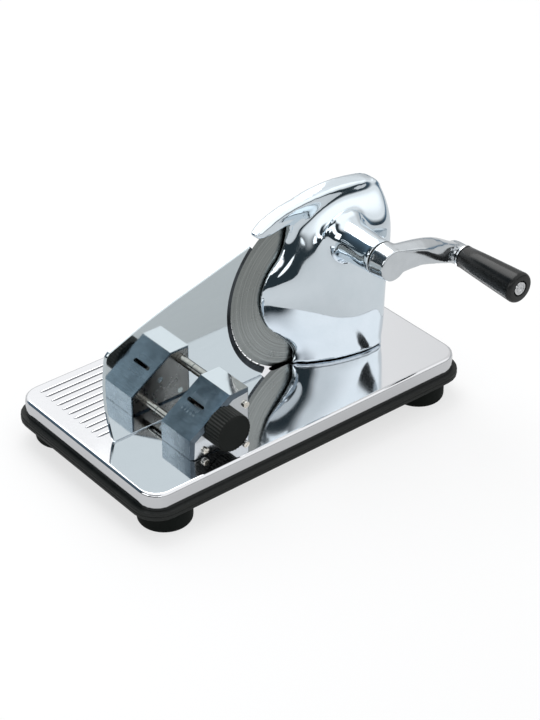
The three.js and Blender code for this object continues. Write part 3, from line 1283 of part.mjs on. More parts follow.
piece('scale_housing', scaleHousing(), ALUMINIUM());
piece('housing_back_plate', housingBackPlate(), STEEL());
backScrewPlaces.forEach(([x, z], i) => piece(`back_plate_screw_${i + 1}`, backPlateScrew(x, z), STEEL()));
housingScrewPlaces.forEach(([x, y], i) => piece(
  `housing_screw_${i + 1}`, screwFromBelow(x, y, HOUSING_SCREW_REACH), STEEL()));
piece('spindle_bearing_plate', bearingPlate(), STEEL());
frontScrewPlaces.forEach(([x, z], i) => piece(`front_screw_${i + 1}`, cheeseScrew(x, z), STEEL()));
piece('setting_spindle', settingSpindle(), STEEL());
piece('spindle_clip', spindleClip(), STEEL());
piece('setting_knob', settingKnob(), BLACK_PLASTIC());
piece('knob_grub_screw', knobGrub(0, 0), STEEL());

const box = new THREE.Box3().setFromObject(group, true);
group.position.set(-(box.min.x + box.max.x) / 2, -(box.min.y + box.max.y) / 2, -box.min.z);

export default group;
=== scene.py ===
"""Dresses the hand crank meat slicer: smooth castings, turned parts, finishes and studio."""
import json
import logging
import math
from contextlib import contextmanager
from dataclasses import dataclass, field
from enum import Enum
from typing import Callable, Iterator, Sequence

import bmesh
import bpy
import numpy as np
from mathutils import Matrix, Vector

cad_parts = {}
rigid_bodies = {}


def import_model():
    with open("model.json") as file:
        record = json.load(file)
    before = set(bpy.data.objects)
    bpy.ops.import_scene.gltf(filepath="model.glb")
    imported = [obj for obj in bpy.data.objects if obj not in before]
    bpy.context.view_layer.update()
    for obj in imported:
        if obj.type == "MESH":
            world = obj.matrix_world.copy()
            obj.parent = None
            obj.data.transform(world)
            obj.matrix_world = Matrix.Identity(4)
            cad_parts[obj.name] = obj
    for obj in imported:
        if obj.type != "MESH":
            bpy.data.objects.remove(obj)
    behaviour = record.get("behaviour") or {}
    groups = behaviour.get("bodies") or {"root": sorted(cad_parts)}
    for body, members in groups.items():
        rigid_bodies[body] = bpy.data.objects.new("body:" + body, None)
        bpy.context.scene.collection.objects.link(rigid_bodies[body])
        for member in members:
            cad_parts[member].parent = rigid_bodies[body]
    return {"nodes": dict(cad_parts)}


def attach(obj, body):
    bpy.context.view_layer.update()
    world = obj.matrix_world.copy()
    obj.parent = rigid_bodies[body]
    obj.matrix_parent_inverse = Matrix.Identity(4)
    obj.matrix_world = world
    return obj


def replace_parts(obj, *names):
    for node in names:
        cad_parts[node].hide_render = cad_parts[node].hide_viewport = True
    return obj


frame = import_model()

LOG = logging.getLogger("slicer")
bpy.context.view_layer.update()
MILLIMETRE = 0.001
PAN_TOP_MIDDLE = Vector((-6.0516, 30.85, 46.7))
TOWARDS_USER = Vector((0.0, -1.0, 0.0))
UPWARDS = Vector((0.0, 0.0, 1.0))

Piece = bpy.types.Object
Socket = bpy.types.NodeSocket
Outputs = bpy.types.bpy_prop_collection
Triple = tuple[float, float, float]
Colour = Triple
Pair = tuple[float, float]
Ring = Pair


def spot(x: float, y: float, z: float) -> Vector:
    """A place given in millimetres from the middle of the pan's top face.

    Args:
        x: millimetres to the right.
        y: millimetres away from the user.
        z: millimetres above the pan.

    Returns:
        The place in the scene's metres.
    """
    return (Vector((x, y, z)) + PAN_TOP_MIDDLE) * MILLIMETRE


class Marks(Enum):
    """How the last tool left a surface."""

    BUFFED = "buffed"
    BRUSHED = "brushed"
    TURNED = "turned"
    MOULDED = "moulded"


class Graph:
    """A node tree with short ways to add nodes and to join their sockets."""

    def __init__(self, tree: bpy.types.NodeTree) -> None:
        """Takes the tree to work on."""
        self.nodes, self.links = tree.nodes, tree.links

    def feed(self, node: bpy.types.Node, inputs: dict[str | int, object]) -> None:
        """Sets inputs of a node.

        Args:
            node: the node.
            inputs: a value, or an output to join, for each input by its name or number.
        """
        for label, value in inputs.items():
            if isinstance(value, Socket):
                self.links.new(value, node.inputs[label])
            else:
                node.inputs[label].default_value = value

    def add(self, kind: str, inputs: dict[str | int, object] | None = None,
            **options: object) -> Outputs:
        """Adds a node.

        Args:
            kind: the node's type, without its prefix.
            inputs: a value, or an output to join, for each input by its name or number.
            options: the node's own options by name.

        Returns:
            The node's outputs.
        """
        node = self.nodes.new(f"ShaderNode{kind}")
        for label, value in options.items():
            setattr(node, label, value)
        self.feed(node, inputs or {})
        return node.outputs

    def sum(self, operation: str, *values: object, clamp: bool = False) -> Socket:
        """The result of a Math node on numbers and outputs."""
        inputs = dict(enumerate(values))
        return self.add("Math", inputs, operation=operation, use_clamp=clamp)["Value"]

    def mix(self, share: object, first: object, second: object) -> Socket:
        """Two colours mixed by a share."""
        first, second = ((*tone, 1.0) if isinstance(tone, tuple) else tone
                         for tone in (first, second))
        return self.add("Mix", {0: share, 6: first, 7: second}, data_type="RGBA")[2]

    def step(self, value: Socket, start: float, end: float, low: float = 0.0,
             high: float = 1.0) -> Socket:
        """A soft step between two values."""
        return self.add("MapRange", {"Value": value, "From Min": start, "From Max": end,
                                     "To Min": low, "To Max": high},
                        interpolation_type="SMOOTHSTEP")["Result"]


class EffectGroups:
    """Shader node groups that the finishes share, each built once."""

    def __init__(self) -> None:
        """Builds every group."""
        self.patches = self._group("uneven patches", self._patches, Scale=40.0, Low=0.4, High=0.7)
        self.brushed = self._group("brushed lines", self._brushed, Stretch=(1.0, 40.0, 40.0),
                                   Fineness=60.0)
        self.turned = self._group("turned rings", self._turned, Centre=(0.0, 0.0, 0.0),
                                  Fineness=900.0)
        self.edges = self._group("rubbed edges", self._edges, Reach=0.06, Strength=1.0)

    @staticmethod
    def _group(name: str, fill: Callable[..., Socket],
               **inputs: float | Triple) -> bpy.types.NodeTree:
        """Builds a node group with one value as its result.

        Args:
            name: the group's name.
            fill: adds the group's nodes and returns the output that is its result.
            inputs: each input's name and first value.

        Returns:
            The group.
        """
        tree = bpy.data.node_groups.new(name, "ShaderNodeTree")
        for label, value in inputs.items():
            kind = "NodeSocketVector" if isinstance(value, tuple) else "NodeSocketFloat"
            tree.interface.new_socket(label, in_out="INPUT", socket_type=kind).default_value = value
        tree.interface.new_socket("Value", in_out="OUTPUT", socket_type="NodeSocketFloat")
        given, result = tree.nodes.new("NodeGroupInput"), tree.nodes.new("NodeGroupOutput")
        tree.links.new(fill(Graph(tree), given.outputs), result.inputs["Value"])
        return tree

    @staticmethod
    def _patches(graph: Graph, given: Outputs) -> Socket:
        """Soft uneven patches: hand marks, water marks and dust, as one mask."""
        noise = graph.add("TexNoise", {"Vector": graph.add("TexCoord")["Object"],
                                       "Scale": given["Scale"], "Detail": 5.0, "Roughness": 0.6})
        return graph.add("MapRange", {"Value": noise["Fac"], "From Min": given["Low"],
                                      "From Max": given["High"]})["Result"]

    @staticmethod
    def _brushed(graph: Graph, given: Outputs) -> Socket:
        """Straight fine lines along one direction, set by how the pattern is stretched."""
        place = graph.add("VectorMath", {0: graph.add("TexCoord")["Object"], 1: given["Stretch"]},
                          operation="MULTIPLY")
        return graph.add("TexNoise", {"Vector": place["Vector"], "Scale": given["Fineness"],
                                      "Detail": 4.0, "Roughness": 0.65})["Fac"]

    @staticmethod
    def _turned(graph: Graph, given: Outputs) -> Socket:
        """Fine rings about an axis along Y, as a lathe or grinder leaves them."""
        offset = graph.add("VectorMath", {0: graph.add("TexCoord")["Object"], 1: given["Centre"]},
                           operation="SUBTRACT")
        flat = graph.add("VectorMath", {0: offset["Vector"], 1: (1.0, 0.0, 1.0)},
                         operation="MULTIPLY")
        radius = graph.add("VectorMath", {0: flat["Vector"]}, operation="LENGTH")["Value"]
        return graph.add("TexNoise", {"W": radius, "Scale": given["Fineness"], "Detail": 3.0,
                                      "Roughness": 0.7}, noise_dimensions="1D")["Fac"]

    @staticmethod
    def _edges(graph: Graph, given: Outputs) -> Socket:
        """Corners that stand out, where handling rubs a finish brighter."""
        above = graph.sum("SUBTRACT", graph.add("NewGeometry")["Pointiness"], 0.5)
        share = graph.sum("DIVIDE", above, given["Reach"], clamp=True)
        return graph.sum("MULTIPLY", share, given["Strength"], clamp=True)


@dataclass(frozen=True)
class Finish:
    """One finish: two near tones, range of roughness, tool marks and rubbed edges."""

    name: str
    slot: str
    tone: Colour
    second_tone: Colour
    gloss: Pair
    marks: Marks
    metallic: float = 1.0
    patch_scale: float = 40.0
    mark_fineness: float = 60.0
    mark_stretch: Triple = (1.0, 40.0, 40.0)
    mark_centre: Triple = (0.0, 0.0, 0.0)
    mark_depth: float = 0.00002
    mark_strength: float = 0.1
    worn_tone: Colour = (0.9, 0.9, 0.9)
    wear: float = 0.0
    specular: float = 0.5
    grain: float = 0.0

    def material(self, groups: EffectGroups) -> bpy.types.Material:
        """The finish as a Blender material.

        Args:
            groups: the shared effects.

        Returns:
            A new material.
        """
        material = bpy.data.materials.new(self.name)
        material.use_nodes = True
        graph = Graph(material.node_tree)
        patches = self._effect(graph, groups.patches, Scale=self.patch_scale)
        marks = self._tool_marks(graph, groups)
        streaked = self.marks in (Marks.BRUSHED, Marks.TURNED)
        colour = graph.mix(marks if streaked else patches, self.tone, self.second_tone)
        if self.wear > 0.0:
            rubbed = self._effect(graph, groups.edges, Strength=self.wear)
            colour = graph.mix(rubbed, colour, self.worn_tone)
        gloss = graph.add("MapRange", {"Value": patches, "To Min": self.gloss[0],
                                       "To Max": self.gloss[1]})
        relief = graph.add("Bump", {"Strength": self.mark_strength, "Distance": self.mark_depth,
                                    "Height": marks})
        shader = graph.nodes["Principled BSDF"]
        graph.feed(shader, {
            "Base Color": colour, "Metallic": self.metallic, "Roughness": gloss["Result"],
            "Specular IOR Level": self.specular, "Normal": relief["Normal"]})
        if self.grain > 0.0:
            around = graph.add("Tangent", direction_type="RADIAL", axis="Y")["Tangent"]
            graph.feed(shader, {"Anisotropic": self.grain, "Tangent": around})
        return material

    def _tool_marks(self, graph: Graph, groups: EffectGroups) -> Socket:
        """The height that the finish's tool marks give."""
        if self.marks is Marks.BRUSHED:
            return self._effect(graph, groups.brushed, Stretch=self.mark_stretch,
                                Fineness=self.mark_fineness)
        if self.marks is Marks.TURNED:
            return self._effect(graph, groups.turned, Centre=self.mark_centre,
                                Fineness=self.mark_fineness)
        return self._effect(graph, groups.patches, Scale=self.mark_fineness, Low=0.0, High=1.0)

    @staticmethod
    def _effect(graph: Graph, tree: bpy.types.NodeTree, **values: object) -> Socket:
        """Places a shared effect in a material with its own values."""
        return graph.add("Group", values, node_tree=tree)["Value"]


BLADE_FOOT = spot(63, 0, 78.5)
GRIP_FOOT = spot(186.0127, 0, 102.2887)
SPINDLE_FOOT = spot(-89.5, 0, 26.27)

POLISHED_CASTING = Finish(
    "polished casting", "polished_casting", (0.82, 0.90, 0.96), (0.77, 0.86, 0.92), (0.04, 0.09),
    Marks.BUFFED, patch_scale=30.0, mark_fineness=55.0, mark_depth=0.0004, mark_strength=0.04)
POLISHED_ARM = Finish(
    "polished arm", "polished_casting", (0.72, 0.76, 0.79), (0.64, 0.68, 0.71), (0.10, 0.17),
    Marks.BUFFED, patch_scale=45.0, mark_fineness=90.0, mark_depth=0.0003, mark_strength=0.05)
POLISHED_PAN = Finish(
    "polished pan", "polished_steel", (0.76, 0.77, 0.79), (0.71, 0.72, 0.74), (0.05, 0.10),
    Marks.BRUSHED, patch_scale=14.0, mark_fineness=60.0, mark_stretch=(1.0, 30.0, 30.0),
    mark_depth=0.00003, mark_strength=0.05)
# Painted shade: a dark, dull finish for the rib flanks, so that each rib shows as a grey line.
PAN_RIB_PAINTED_SHADE = Finish(
    "pan rib sides painted shade", "polished_steel", (0.16, 0.16, 0.17), (0.26, 0.26, 0.27), (0.50, 0.60),
    Marks.BRUSHED, metallic=0.2, patch_scale=14.0, mark_fineness=60.0,
    mark_stretch=(1.0, 30.0, 30.0), mark_depth=0.00003, mark_strength=0.05, specular=0.1)
GUIDE_STEEL = Finish(
    "guide steel", "polished_steel", (0.66, 0.73, 0.76), (0.60, 0.67, 0.70), (0.04, 0.08),
    Marks.BRUSHED, patch_scale=18.0, mark_fineness=60.0, mark_stretch=(1.0, 30.0, 30.0),
    mark_depth=0.00003, mark_strength=0.04)
# Painted dark reflection: a near-black metal tone for the rounding along the guide plate's hollow
# edge.
GUIDE_EDGE_PAINTED_DARK = Finish(
    "guide edge painted dark reflection", "polished_steel", (0.03, 0.036, 0.04), (0.06, 0.07, 0.08), (0.10, 0.20),
    Marks.BUFFED, patch_scale=60.0, mark_fineness=300.0, mark_depth=0.00003, mark_strength=0.1)
# Painted highlight: a near-white tone for a thin band in the guide plate's rounding.
GUIDE_PAINTED_HIGHLIGHT = Finish(
    "guide painted highlight line", "polished_steel", (0.92, 0.95, 0.96), (0.80, 0.84, 0.86), (0.35, 0.45),
    Marks.BUFFED, patch_scale=60.0, mark_fineness=300.0, mark_depth=0.00003, mark_strength=0.1)
GROUND_STEEL = Finish(
    "ground blade steel", "ground_steel", (0.46, 0.485, 0.475), (0.11, 0.125, 0.12), (0.22, 0.36),
    Marks.TURNED, patch_scale=25.0, mark_fineness=700.0, mark_centre=tuple(BLADE_FOOT),
    mark_depth=0.00005, mark_strength=0.35, grain=0.75)
HOUSING_METAL = Finish(
    "housing metal", "housing_metal", (0.64, 0.80, 0.92), (0.20, 0.29, 0.37), (0.17, 0.25),
    Marks.BRUSHED, patch_scale=60.0, mark_fineness=110.0, mark_stretch=(14.0, 1.0, 14.0),
    mark_depth=0.00005, mark_strength=0.25)
BACK_PLATE = Finish(
    "housing back plate", "housing_metal", (0.52, 0.45, 0.41), (0.42, 0.36, 0.33), (0.26, 0.36),
    Marks.BRUSHED, patch_scale=50.0, mark_fineness=60.0, mark_stretch=(20.0, 20.0, 1.0),
    mark_depth=0.00005, mark_strength=0.12)
# Painted light: the housing's top, front and side are copies of one metal, each toned for how it
# shows lit or shaded.
HOUSING_TOP_PAINTED_LIGHT = Finish(
    "housing top painted light", "housing_metal", (0.94, 0.95, 0.96), (0.86, 0.88, 0.90), (0.07, 0.14),
    Marks.BRUSHED, patch_scale=60.0, mark_fineness=60.0, mark_stretch=(18.0, 1.5, 18.0),
    mark_depth=0.00003, mark_strength=0.1)
HOUSING_FACE_PAINTED_LIGHT = Finish(
    "housing face painted light", "housing_metal", (0.72, 0.75, 0.77), (0.60, 0.63, 0.66), (0.10, 0.20),
    Marks.BRUSHED, patch_scale=50.0, mark_fineness=70.0, mark_stretch=(20.0, 20.0, 1.0),
    mark_depth=0.00005, mark_strength=0.12)
HOUSING_SIDE_PAINTED_LIGHT = Finish(
    "housing side painted light", "housing_metal", (0.84, 0.91, 0.96), (0.26, 0.33, 0.39), (0.22, 0.32),
    Marks.BRUSHED, patch_scale=50.0, mark_fineness=70.0, mark_stretch=(14.0, 1.0, 14.0),
    mark_depth=0.00005, mark_strength=0.15)
# Painted highlight: a near-white tone for the housing's thin bevelled edges.
HOUSING_EDGE_PAINTED_HIGHLIGHT = Finish(
    "housing edge painted highlight", "housing_metal", (0.92, 0.94, 0.96), (0.82, 0.85, 0.88), (0.12, 0.24),
    Marks.BUFFED, patch_scale=90.0, mark_fineness=300.0, mark_depth=0.00002, mark_strength=0.1)
# Painted dark reflection: a near-black tone for the chamfer round the housing's front.
HOUSING_CHAMFER_PAINTED_DARK = Finish(
    "housing chamfer painted dark reflection", "housing_metal", (0.07, 0.09, 0.11), (0.12, 0.15, 0.18), (0.2, 0.32),
    Marks.BUFFED, patch_scale=90.0, mark_fineness=300.0, mark_depth=0.00003, mark_strength=0.2)
SCALE_MARKS = Finish(
    "scale marks", "housing_metal", (0.26, 0.33, 0.38), (0.20, 0.26, 0.31), (0.35, 0.5),
    Marks.BUFFED, metallic=0.4, patch_scale=400.0, mark_fineness=900.0, mark_depth=0.00002,
    mark_strength=0.2)
SCREW_STEEL = Finish(
    "screw steel", "screw_steel", (0.80, 0.75, 0.66), (0.66, 0.61, 0.53), (0.20, 0.34),
    Marks.BUFFED, patch_scale=300.0, mark_fineness=600.0, mark_depth=0.00005, mark_strength=0.3,
    worn_tone=(0.9, 0.88, 0.82), wear=0.8)
ROD_STEEL = Finish(
    "rod steel", "screw_steel", (0.66, 0.63, 0.58), (0.52, 0.49, 0.45), (0.06, 0.12),
    Marks.BUFFED, patch_scale=120.0, mark_fineness=500.0, mark_depth=0.00003, mark_strength=0.2)
TURNED_STEEL = Finish(
    "turned steel", "screw_steel", (0.70, 0.71, 0.72), (0.60, 0.61, 0.62), (0.14, 0.26),
    Marks.BUFFED, patch_scale=120.0, mark_fineness=500.0, mark_depth=0.00003, mark_strength=0.2)
BUSH_BRONZE = Finish(
    "bush bronze", "bush_bronze", (0.50, 0.33, 0.14), (0.38, 0.24, 0.10), (0.3, 0.45),
    Marks.BUFFED, patch_scale=200.0, mark_fineness=500.0, mark_depth=0.00003, mark_strength=0.3)
BLACK_FRAME = Finish(
    "black frame", "black_frame", (0.005, 0.0065, 0.006), (0.010, 0.012, 0.011), (0.38, 0.52),
    Marks.MOULDED, metallic=0.0, patch_scale=80.0, mark_fineness=1500.0, mark_depth=0.00008,
    mark_strength=0.25, worn_tone=(0.05, 0.052, 0.05), wear=0.5, specular=0.14)
BLACK_GRIP = Finish(
    "black grip", "black_grip", (0.005, 0.006, 0.006), (0.009, 0.010, 0.010), (0.20, 0.30),
    Marks.MOULDED, metallic=0.0, patch_scale=60.0, mark_fineness=900.0, mark_depth=0.00004,
    mark_strength=0.12, worn_tone=(0.05, 0.05, 0.05), wear=0.3, specular=0.3)
BLACK_KNOB = Finish(
    "black knob", "black_grip", (0.005, 0.007, 0.006), (0.009, 0.011, 0.010), (0.42, 0.56),
    Marks.MOULDED, metallic=0.0, patch_scale=90.0, mark_fineness=1500.0, mark_depth=0.00008,
    mark_strength=0.25, worn_tone=(0.04, 0.042, 0.04), wear=0.6, specular=0.11)
FOOT_RUBBER = Finish(
    "foot rubber", "foot_rubber", (0.005, 0.007, 0.006), (0.009, 0.011, 0.010), (0.55, 0.72),
    Marks.MOULDED, metallic=0.0, patch_scale=90.0, mark_fineness=1200.0, mark_depth=0.0001,
    mark_strength=0.3, specular=0.08)


class Wardrobe:
    """Makes each finish's material once and puts it on pieces."""

    def __init__(self) -> None:
        """Builds the shared effects."""
        self.groups = EffectGroups()
        self.made: dict[str, bpy.types.Material] = {}

    def material(self, finish: Finish) -> bpy.types.Material:
        """The material of a finish."""
        if finish.name not in self.made:
            self.made[finish.name] = finish.material(self.groups)
        return self.made[finish.name]

    def dress(self, piece: Piece, finish: Finish) -> None:
        """Gives a new piece its finish.

        Args:
            piece: the piece.
            finish: what it wears.
        """
        piece.data.materials.clear()
        piece.data.materials.append(self.material(finish))

    def dress_nodes(self, finish: Finish, *names: str) -> None:
        """Gives CAD nodes that stay their finish.

        Args:
            finish: what they wear.
            names: the nodes' names.
        """
        for name in names:
            for holder in frame["nodes"][name].material_slots:
                holder.material = self.material(finish)


class Bench:
    """Modelling steps that the sub-assemblies share."""

    HOLLOW_HOLD = 0.12
    HOLD_LEVELS = 10
    POINTED = 0.01
    MERGED = 2e-6
    DOUBLED = 1e-6
    IN_PLANE = 0.4
    EASED_FROM = 38.0

    @staticmethod
    def clear() -> None:
        """Leaves nothing selected."""
        for thing in bpy.context.view_layer.objects.selected[:]:
            thing.select_set(False)

    @classmethod
    def take(cls, piece: Piece) -> None:
        """Selects one piece alone and makes it the active one."""
        cls.clear()
        piece.select_set(True)
        bpy.context.view_layer.objects.active = piece

    @staticmethod
    @contextmanager
    def editing() -> Iterator[None]:
        """Edit mode for the active piece, at first with all of it selected."""
        bpy.ops.object.mode_set(mode="EDIT")
        bpy.ops.mesh.select_all(action="SELECT")
        yield
        bpy.ops.object.mode_set(mode="OBJECT")

    @classmethod
    def apply(cls, piece: Piece, kind: str, **settings: object) -> None:
        """Adds a modifier and applies it.

        Args:
            piece: the piece to change.
            kind: the modifier's type.
            settings: the modifier's values by name.
        """
        cls.take(piece)
        modifier = piece.modifiers.new(kind.title(), kind)
        for label, value in settings.items():
            setattr(modifier, label, value)
        bpy.ops.object.modifier_apply(modifier=modifier.name)

    @classmethod
    def settle(cls, piece: Piece) -> None:
        """Moves a piece's place, turn and scale into its mesh."""
        cls.take(piece)
        bpy.ops.object.transform_apply(location=True, rotation=True, scale=True)

    @classmethod
    def shade(cls, piece: Piece, degrees: float = 35.0) -> None:
        """Shades a piece smooth except across edges sharper than an angle."""
        cls.take(piece)
        bpy.ops.object.shade_smooth_by_angle(angle=math.radians(degrees))

    @classmethod
    def outward(cls, piece: Piece) -> None:
        """Merges doubled points and turns every face outwards."""
        cls.take(piece)
        with cls.editing():
            bpy.ops.mesh.remove_doubles(threshold=cls.DOUBLED)
            bpy.ops.mesh.normals_make_consistent(inside=False)

    @classmethod
    def copy_of(cls, node: str, name: str) -> Piece:
        """A merged copy of a CAD node's mesh, to be finished as a new piece.

        Args:
            node: the CAD node.
            name: the new piece's name.

        Returns:
            The new piece.
        """
        piece = bpy.data.objects.new(name, frame["nodes"][node].data.copy())
        bpy.context.scene.collection.objects.link(piece)
        cls.take(piece)
        if piece.data.has_custom_normals:
            bpy.ops.mesh.customdata_custom_splitnormals_clear()
        with cls.editing():
            bpy.ops.mesh.remove_doubles(threshold=cls.MERGED)
            bpy.ops.mesh.dissolve_limited(angle_limit=math.radians(cls.IN_PLANE))
        return piece

    @classmethod
    def eased(cls, node: str, radius: float = 0.0003, segments: int = 2,
              smooth: float = 35.0) -> Piece:
        """A copy of a CAD node with eased edges and smooth turns.

        Args:
            node: the CAD node.
            radius: the width of the eased edges in metres.
            segments: faces across an eased edge.
            smooth: the sharpest angle that is shaded smooth.

        Returns:
            The new piece, standing for the node.
        """
        piece = cls.copy_of(node, f"{node}_finished")
        if radius > 0.0:
            cls.apply(piece, "BEVEL", width=radius, segments=segments, limit_method="ANGLE",
                      angle_limit=math.radians(cls.EASED_FROM), use_clamp_overlap=True)
        cls.shade(piece, smooth)
        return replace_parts(piece, node)

    @staticmethod
    def rows(parts: Outputs, label: str, width: int, kind: type) -> np.ndarray:
        """One property of all points or edges of a mesh, a row for each."""
        values = np.empty(width * len(parts), dtype=kind)
        parts.foreach_get(label, values)
        return values.reshape(-1, width)

    @classmethod
    def buff(cls, piece: Piece, passes: int, crease: float, spread: int = 2) -> None:
        """Evens out a finely meshed piece, but holds its edges and tight rounds.

        Args:
            piece: the piece to even out.
            passes: how often the open surface is evened.
            crease: degrees between neighbouring points above which the surface is held.
            spread: rings of points around an edge that are held with it.
        """
        normals = cls.rows(piece.data.vertices, "normal", 3, np.float32)
        places = cls.rows(piece.data.vertices, "co", 3, np.float32)
        first, second = cls.rows(piece.data.edges, "vertices", 2, np.int32).T
        along = (normals[first] * normals[second]).sum(axis=1)
        turn = np.degrees(np.arccos(np.clip(along, -1.0, 1.0)))
        opening = (normals[second] - normals[first]) * (places[second] - places[first])
        turn = np.where(opening.sum(axis=1) > 0.0, turn, turn * cls.HOLLOW_HOLD)
        held = np.zeros(len(places))
        for _ in range(spread + 1):
            np.maximum.at(held, first, turn)
            np.maximum.at(held, second, turn)
            turn = np.maximum(held[first], held[second])
        open_share = np.clip(1.0 - (held - crease) / (crease / 2), 0.0, 1.0)
        group = piece.vertex_groups.new(name="open surface")
        levels = np.round(open_share * cls.HOLD_LEVELS).astype(int)
        for level in range(cls.HOLD_LEVELS + 1):
            chosen = np.flatnonzero(levels == level).tolist()
            group.add(chosen, level / cls.HOLD_LEVELS, "REPLACE")
        cls.apply(piece, "SMOOTH", factor=0.5, iterations=passes, vertex_group=group.name)
        piece.vertex_groups.clear()

    @classmethod
    def flatten_shading(cls, piece: Piece) -> None:
        """Lets broad faces shade flat while the edges beside them shade round."""
        cls.apply(piece, "WEIGHTED_NORMAL", mode="FACE_AREA", weight=100, keep_sharp=True)

    @classmethod
    def cut(cls, piece: Piece, cutter: Piece) -> None:
        """Cuts one piece out of another and throws the cutter away."""
        cls.apply(piece, "BOOLEAN", operation="DIFFERENCE", solver="EXACT", object=cutter)
        bpy.data.objects.remove(cutter)

    @classmethod
    def stand_along(cls, piece: Piece, foot: Vector, along: Vector) -> None:
        """Turns a piece drawn up along +Z on to its own axis and settles it.

        Args:
            piece: the piece.
            foot: where the axis starts.
            along: the axis' direction.
        """
        piece.rotation_mode = "QUATERNION"
        piece.rotation_quaternion = UPWARDS.rotation_difference(along)
        piece.location = foot
        cls.settle(piece)
        cls.outward(piece)

    @classmethod
    def spun(cls, name: str, foot: Vector, along: Vector, profile: Sequence[Ring],
             segments: int = 96) -> Piece:
        """A turned piece with a bore: a closed loop of edges spun once round the axis.

        Args:
            name: the piece's name.
            foot: where the axis starts.
            along: the axis' direction.
            profile: distance along the axis and radius of each corner, in millimetres.
            segments: faces around.

        Returns:
            The closed piece.
        """
        cls.clear()
        bpy.ops.mesh.primitive_circle_add(vertices=len(profile), radius=MILLIMETRE,
                                          fill_type="NOTHING")
        piece = bpy.context.object
        piece.name = name
        with cls.editing():
            shape = bmesh.from_edit_mesh(piece.data)
            for vertex, (distance, radius) in zip(shape.verts, profile):
                vertex.co = Vector((radius, 0.0, distance)) * MILLIMETRE
            bmesh.update_edit_mesh(piece.data)
            bpy.ops.mesh.spin(steps=segments, angle=2 * math.pi, center=(0, 0, 0), axis=(0, 0, 1))
        cls.stand_along(piece, foot, along)
        return piece

    @classmethod
    def turned(cls, name: str, foot: Vector, along: Vector, rings: Sequence[Ring],
               segments: int = 96) -> Piece:
        """A turned piece, drawn up ring by ring from a disc as on a lathe.

        Args:
            name: the piece's name.
            foot: where the axis starts.
            along: the axis' direction.
            rings: distance along the axis and radius of each ring, in millimetres.
            segments: faces around.

        Returns:
            The closed piece.
        """
        cls.clear()
        start, radius = rings[0]
        bpy.ops.mesh.primitive_circle_add(vertices=segments, radius=radius * MILLIMETRE,
                                          fill_type="NGON")
        piece = bpy.context.object
        piece.name = name
        with cls.editing():
            bpy.ops.transform.translate(value=(0, 0, start * MILLIMETRE))
            for distance, wanted in rings[1:]:
                bpy.ops.mesh.extrude_region_move(
                    TRANSFORM_OT_translate={"value": (0, 0, (distance - start) * MILLIMETRE)})
                share = max(wanted, cls.POINTED) / radius
                bpy.ops.transform.resize(value=(share, share, 1),
                                         center_override=(0, 0, distance * MILLIMETRE))
                start, radius = distance, max(wanted, cls.POINTED)
        cls.stand_along(piece, foot, along)
        return piece

    @staticmethod
    def choose_points(piece: Piece, wanted: Callable[[Vector], bool]) -> None:
        """Selects the points of a piece in edit mode by their place."""
        shape = bmesh.from_edit_mesh(piece.data)
        for part in (*shape.verts, *shape.edges, *shape.faces):
            part.select = False
        for point in shape.verts:
            point.select = wanted(point.co)
        shape.select_flush_mode()
        bmesh.update_edit_mesh(piece.data)

    @staticmethod
    def choose_faces(piece: Piece, wanted: Callable[[Vector, Vector], bool]) -> None:
        """Selects the faces of a piece in edit mode by their middle and normal."""
        shape = bmesh.from_edit_mesh(piece.data)
        for face in shape.faces:
            face.select_set(wanted(face.calc_center_median(), face.normal))
        shape.select_flush_mode()
        bmesh.update_edit_mesh(piece.data)


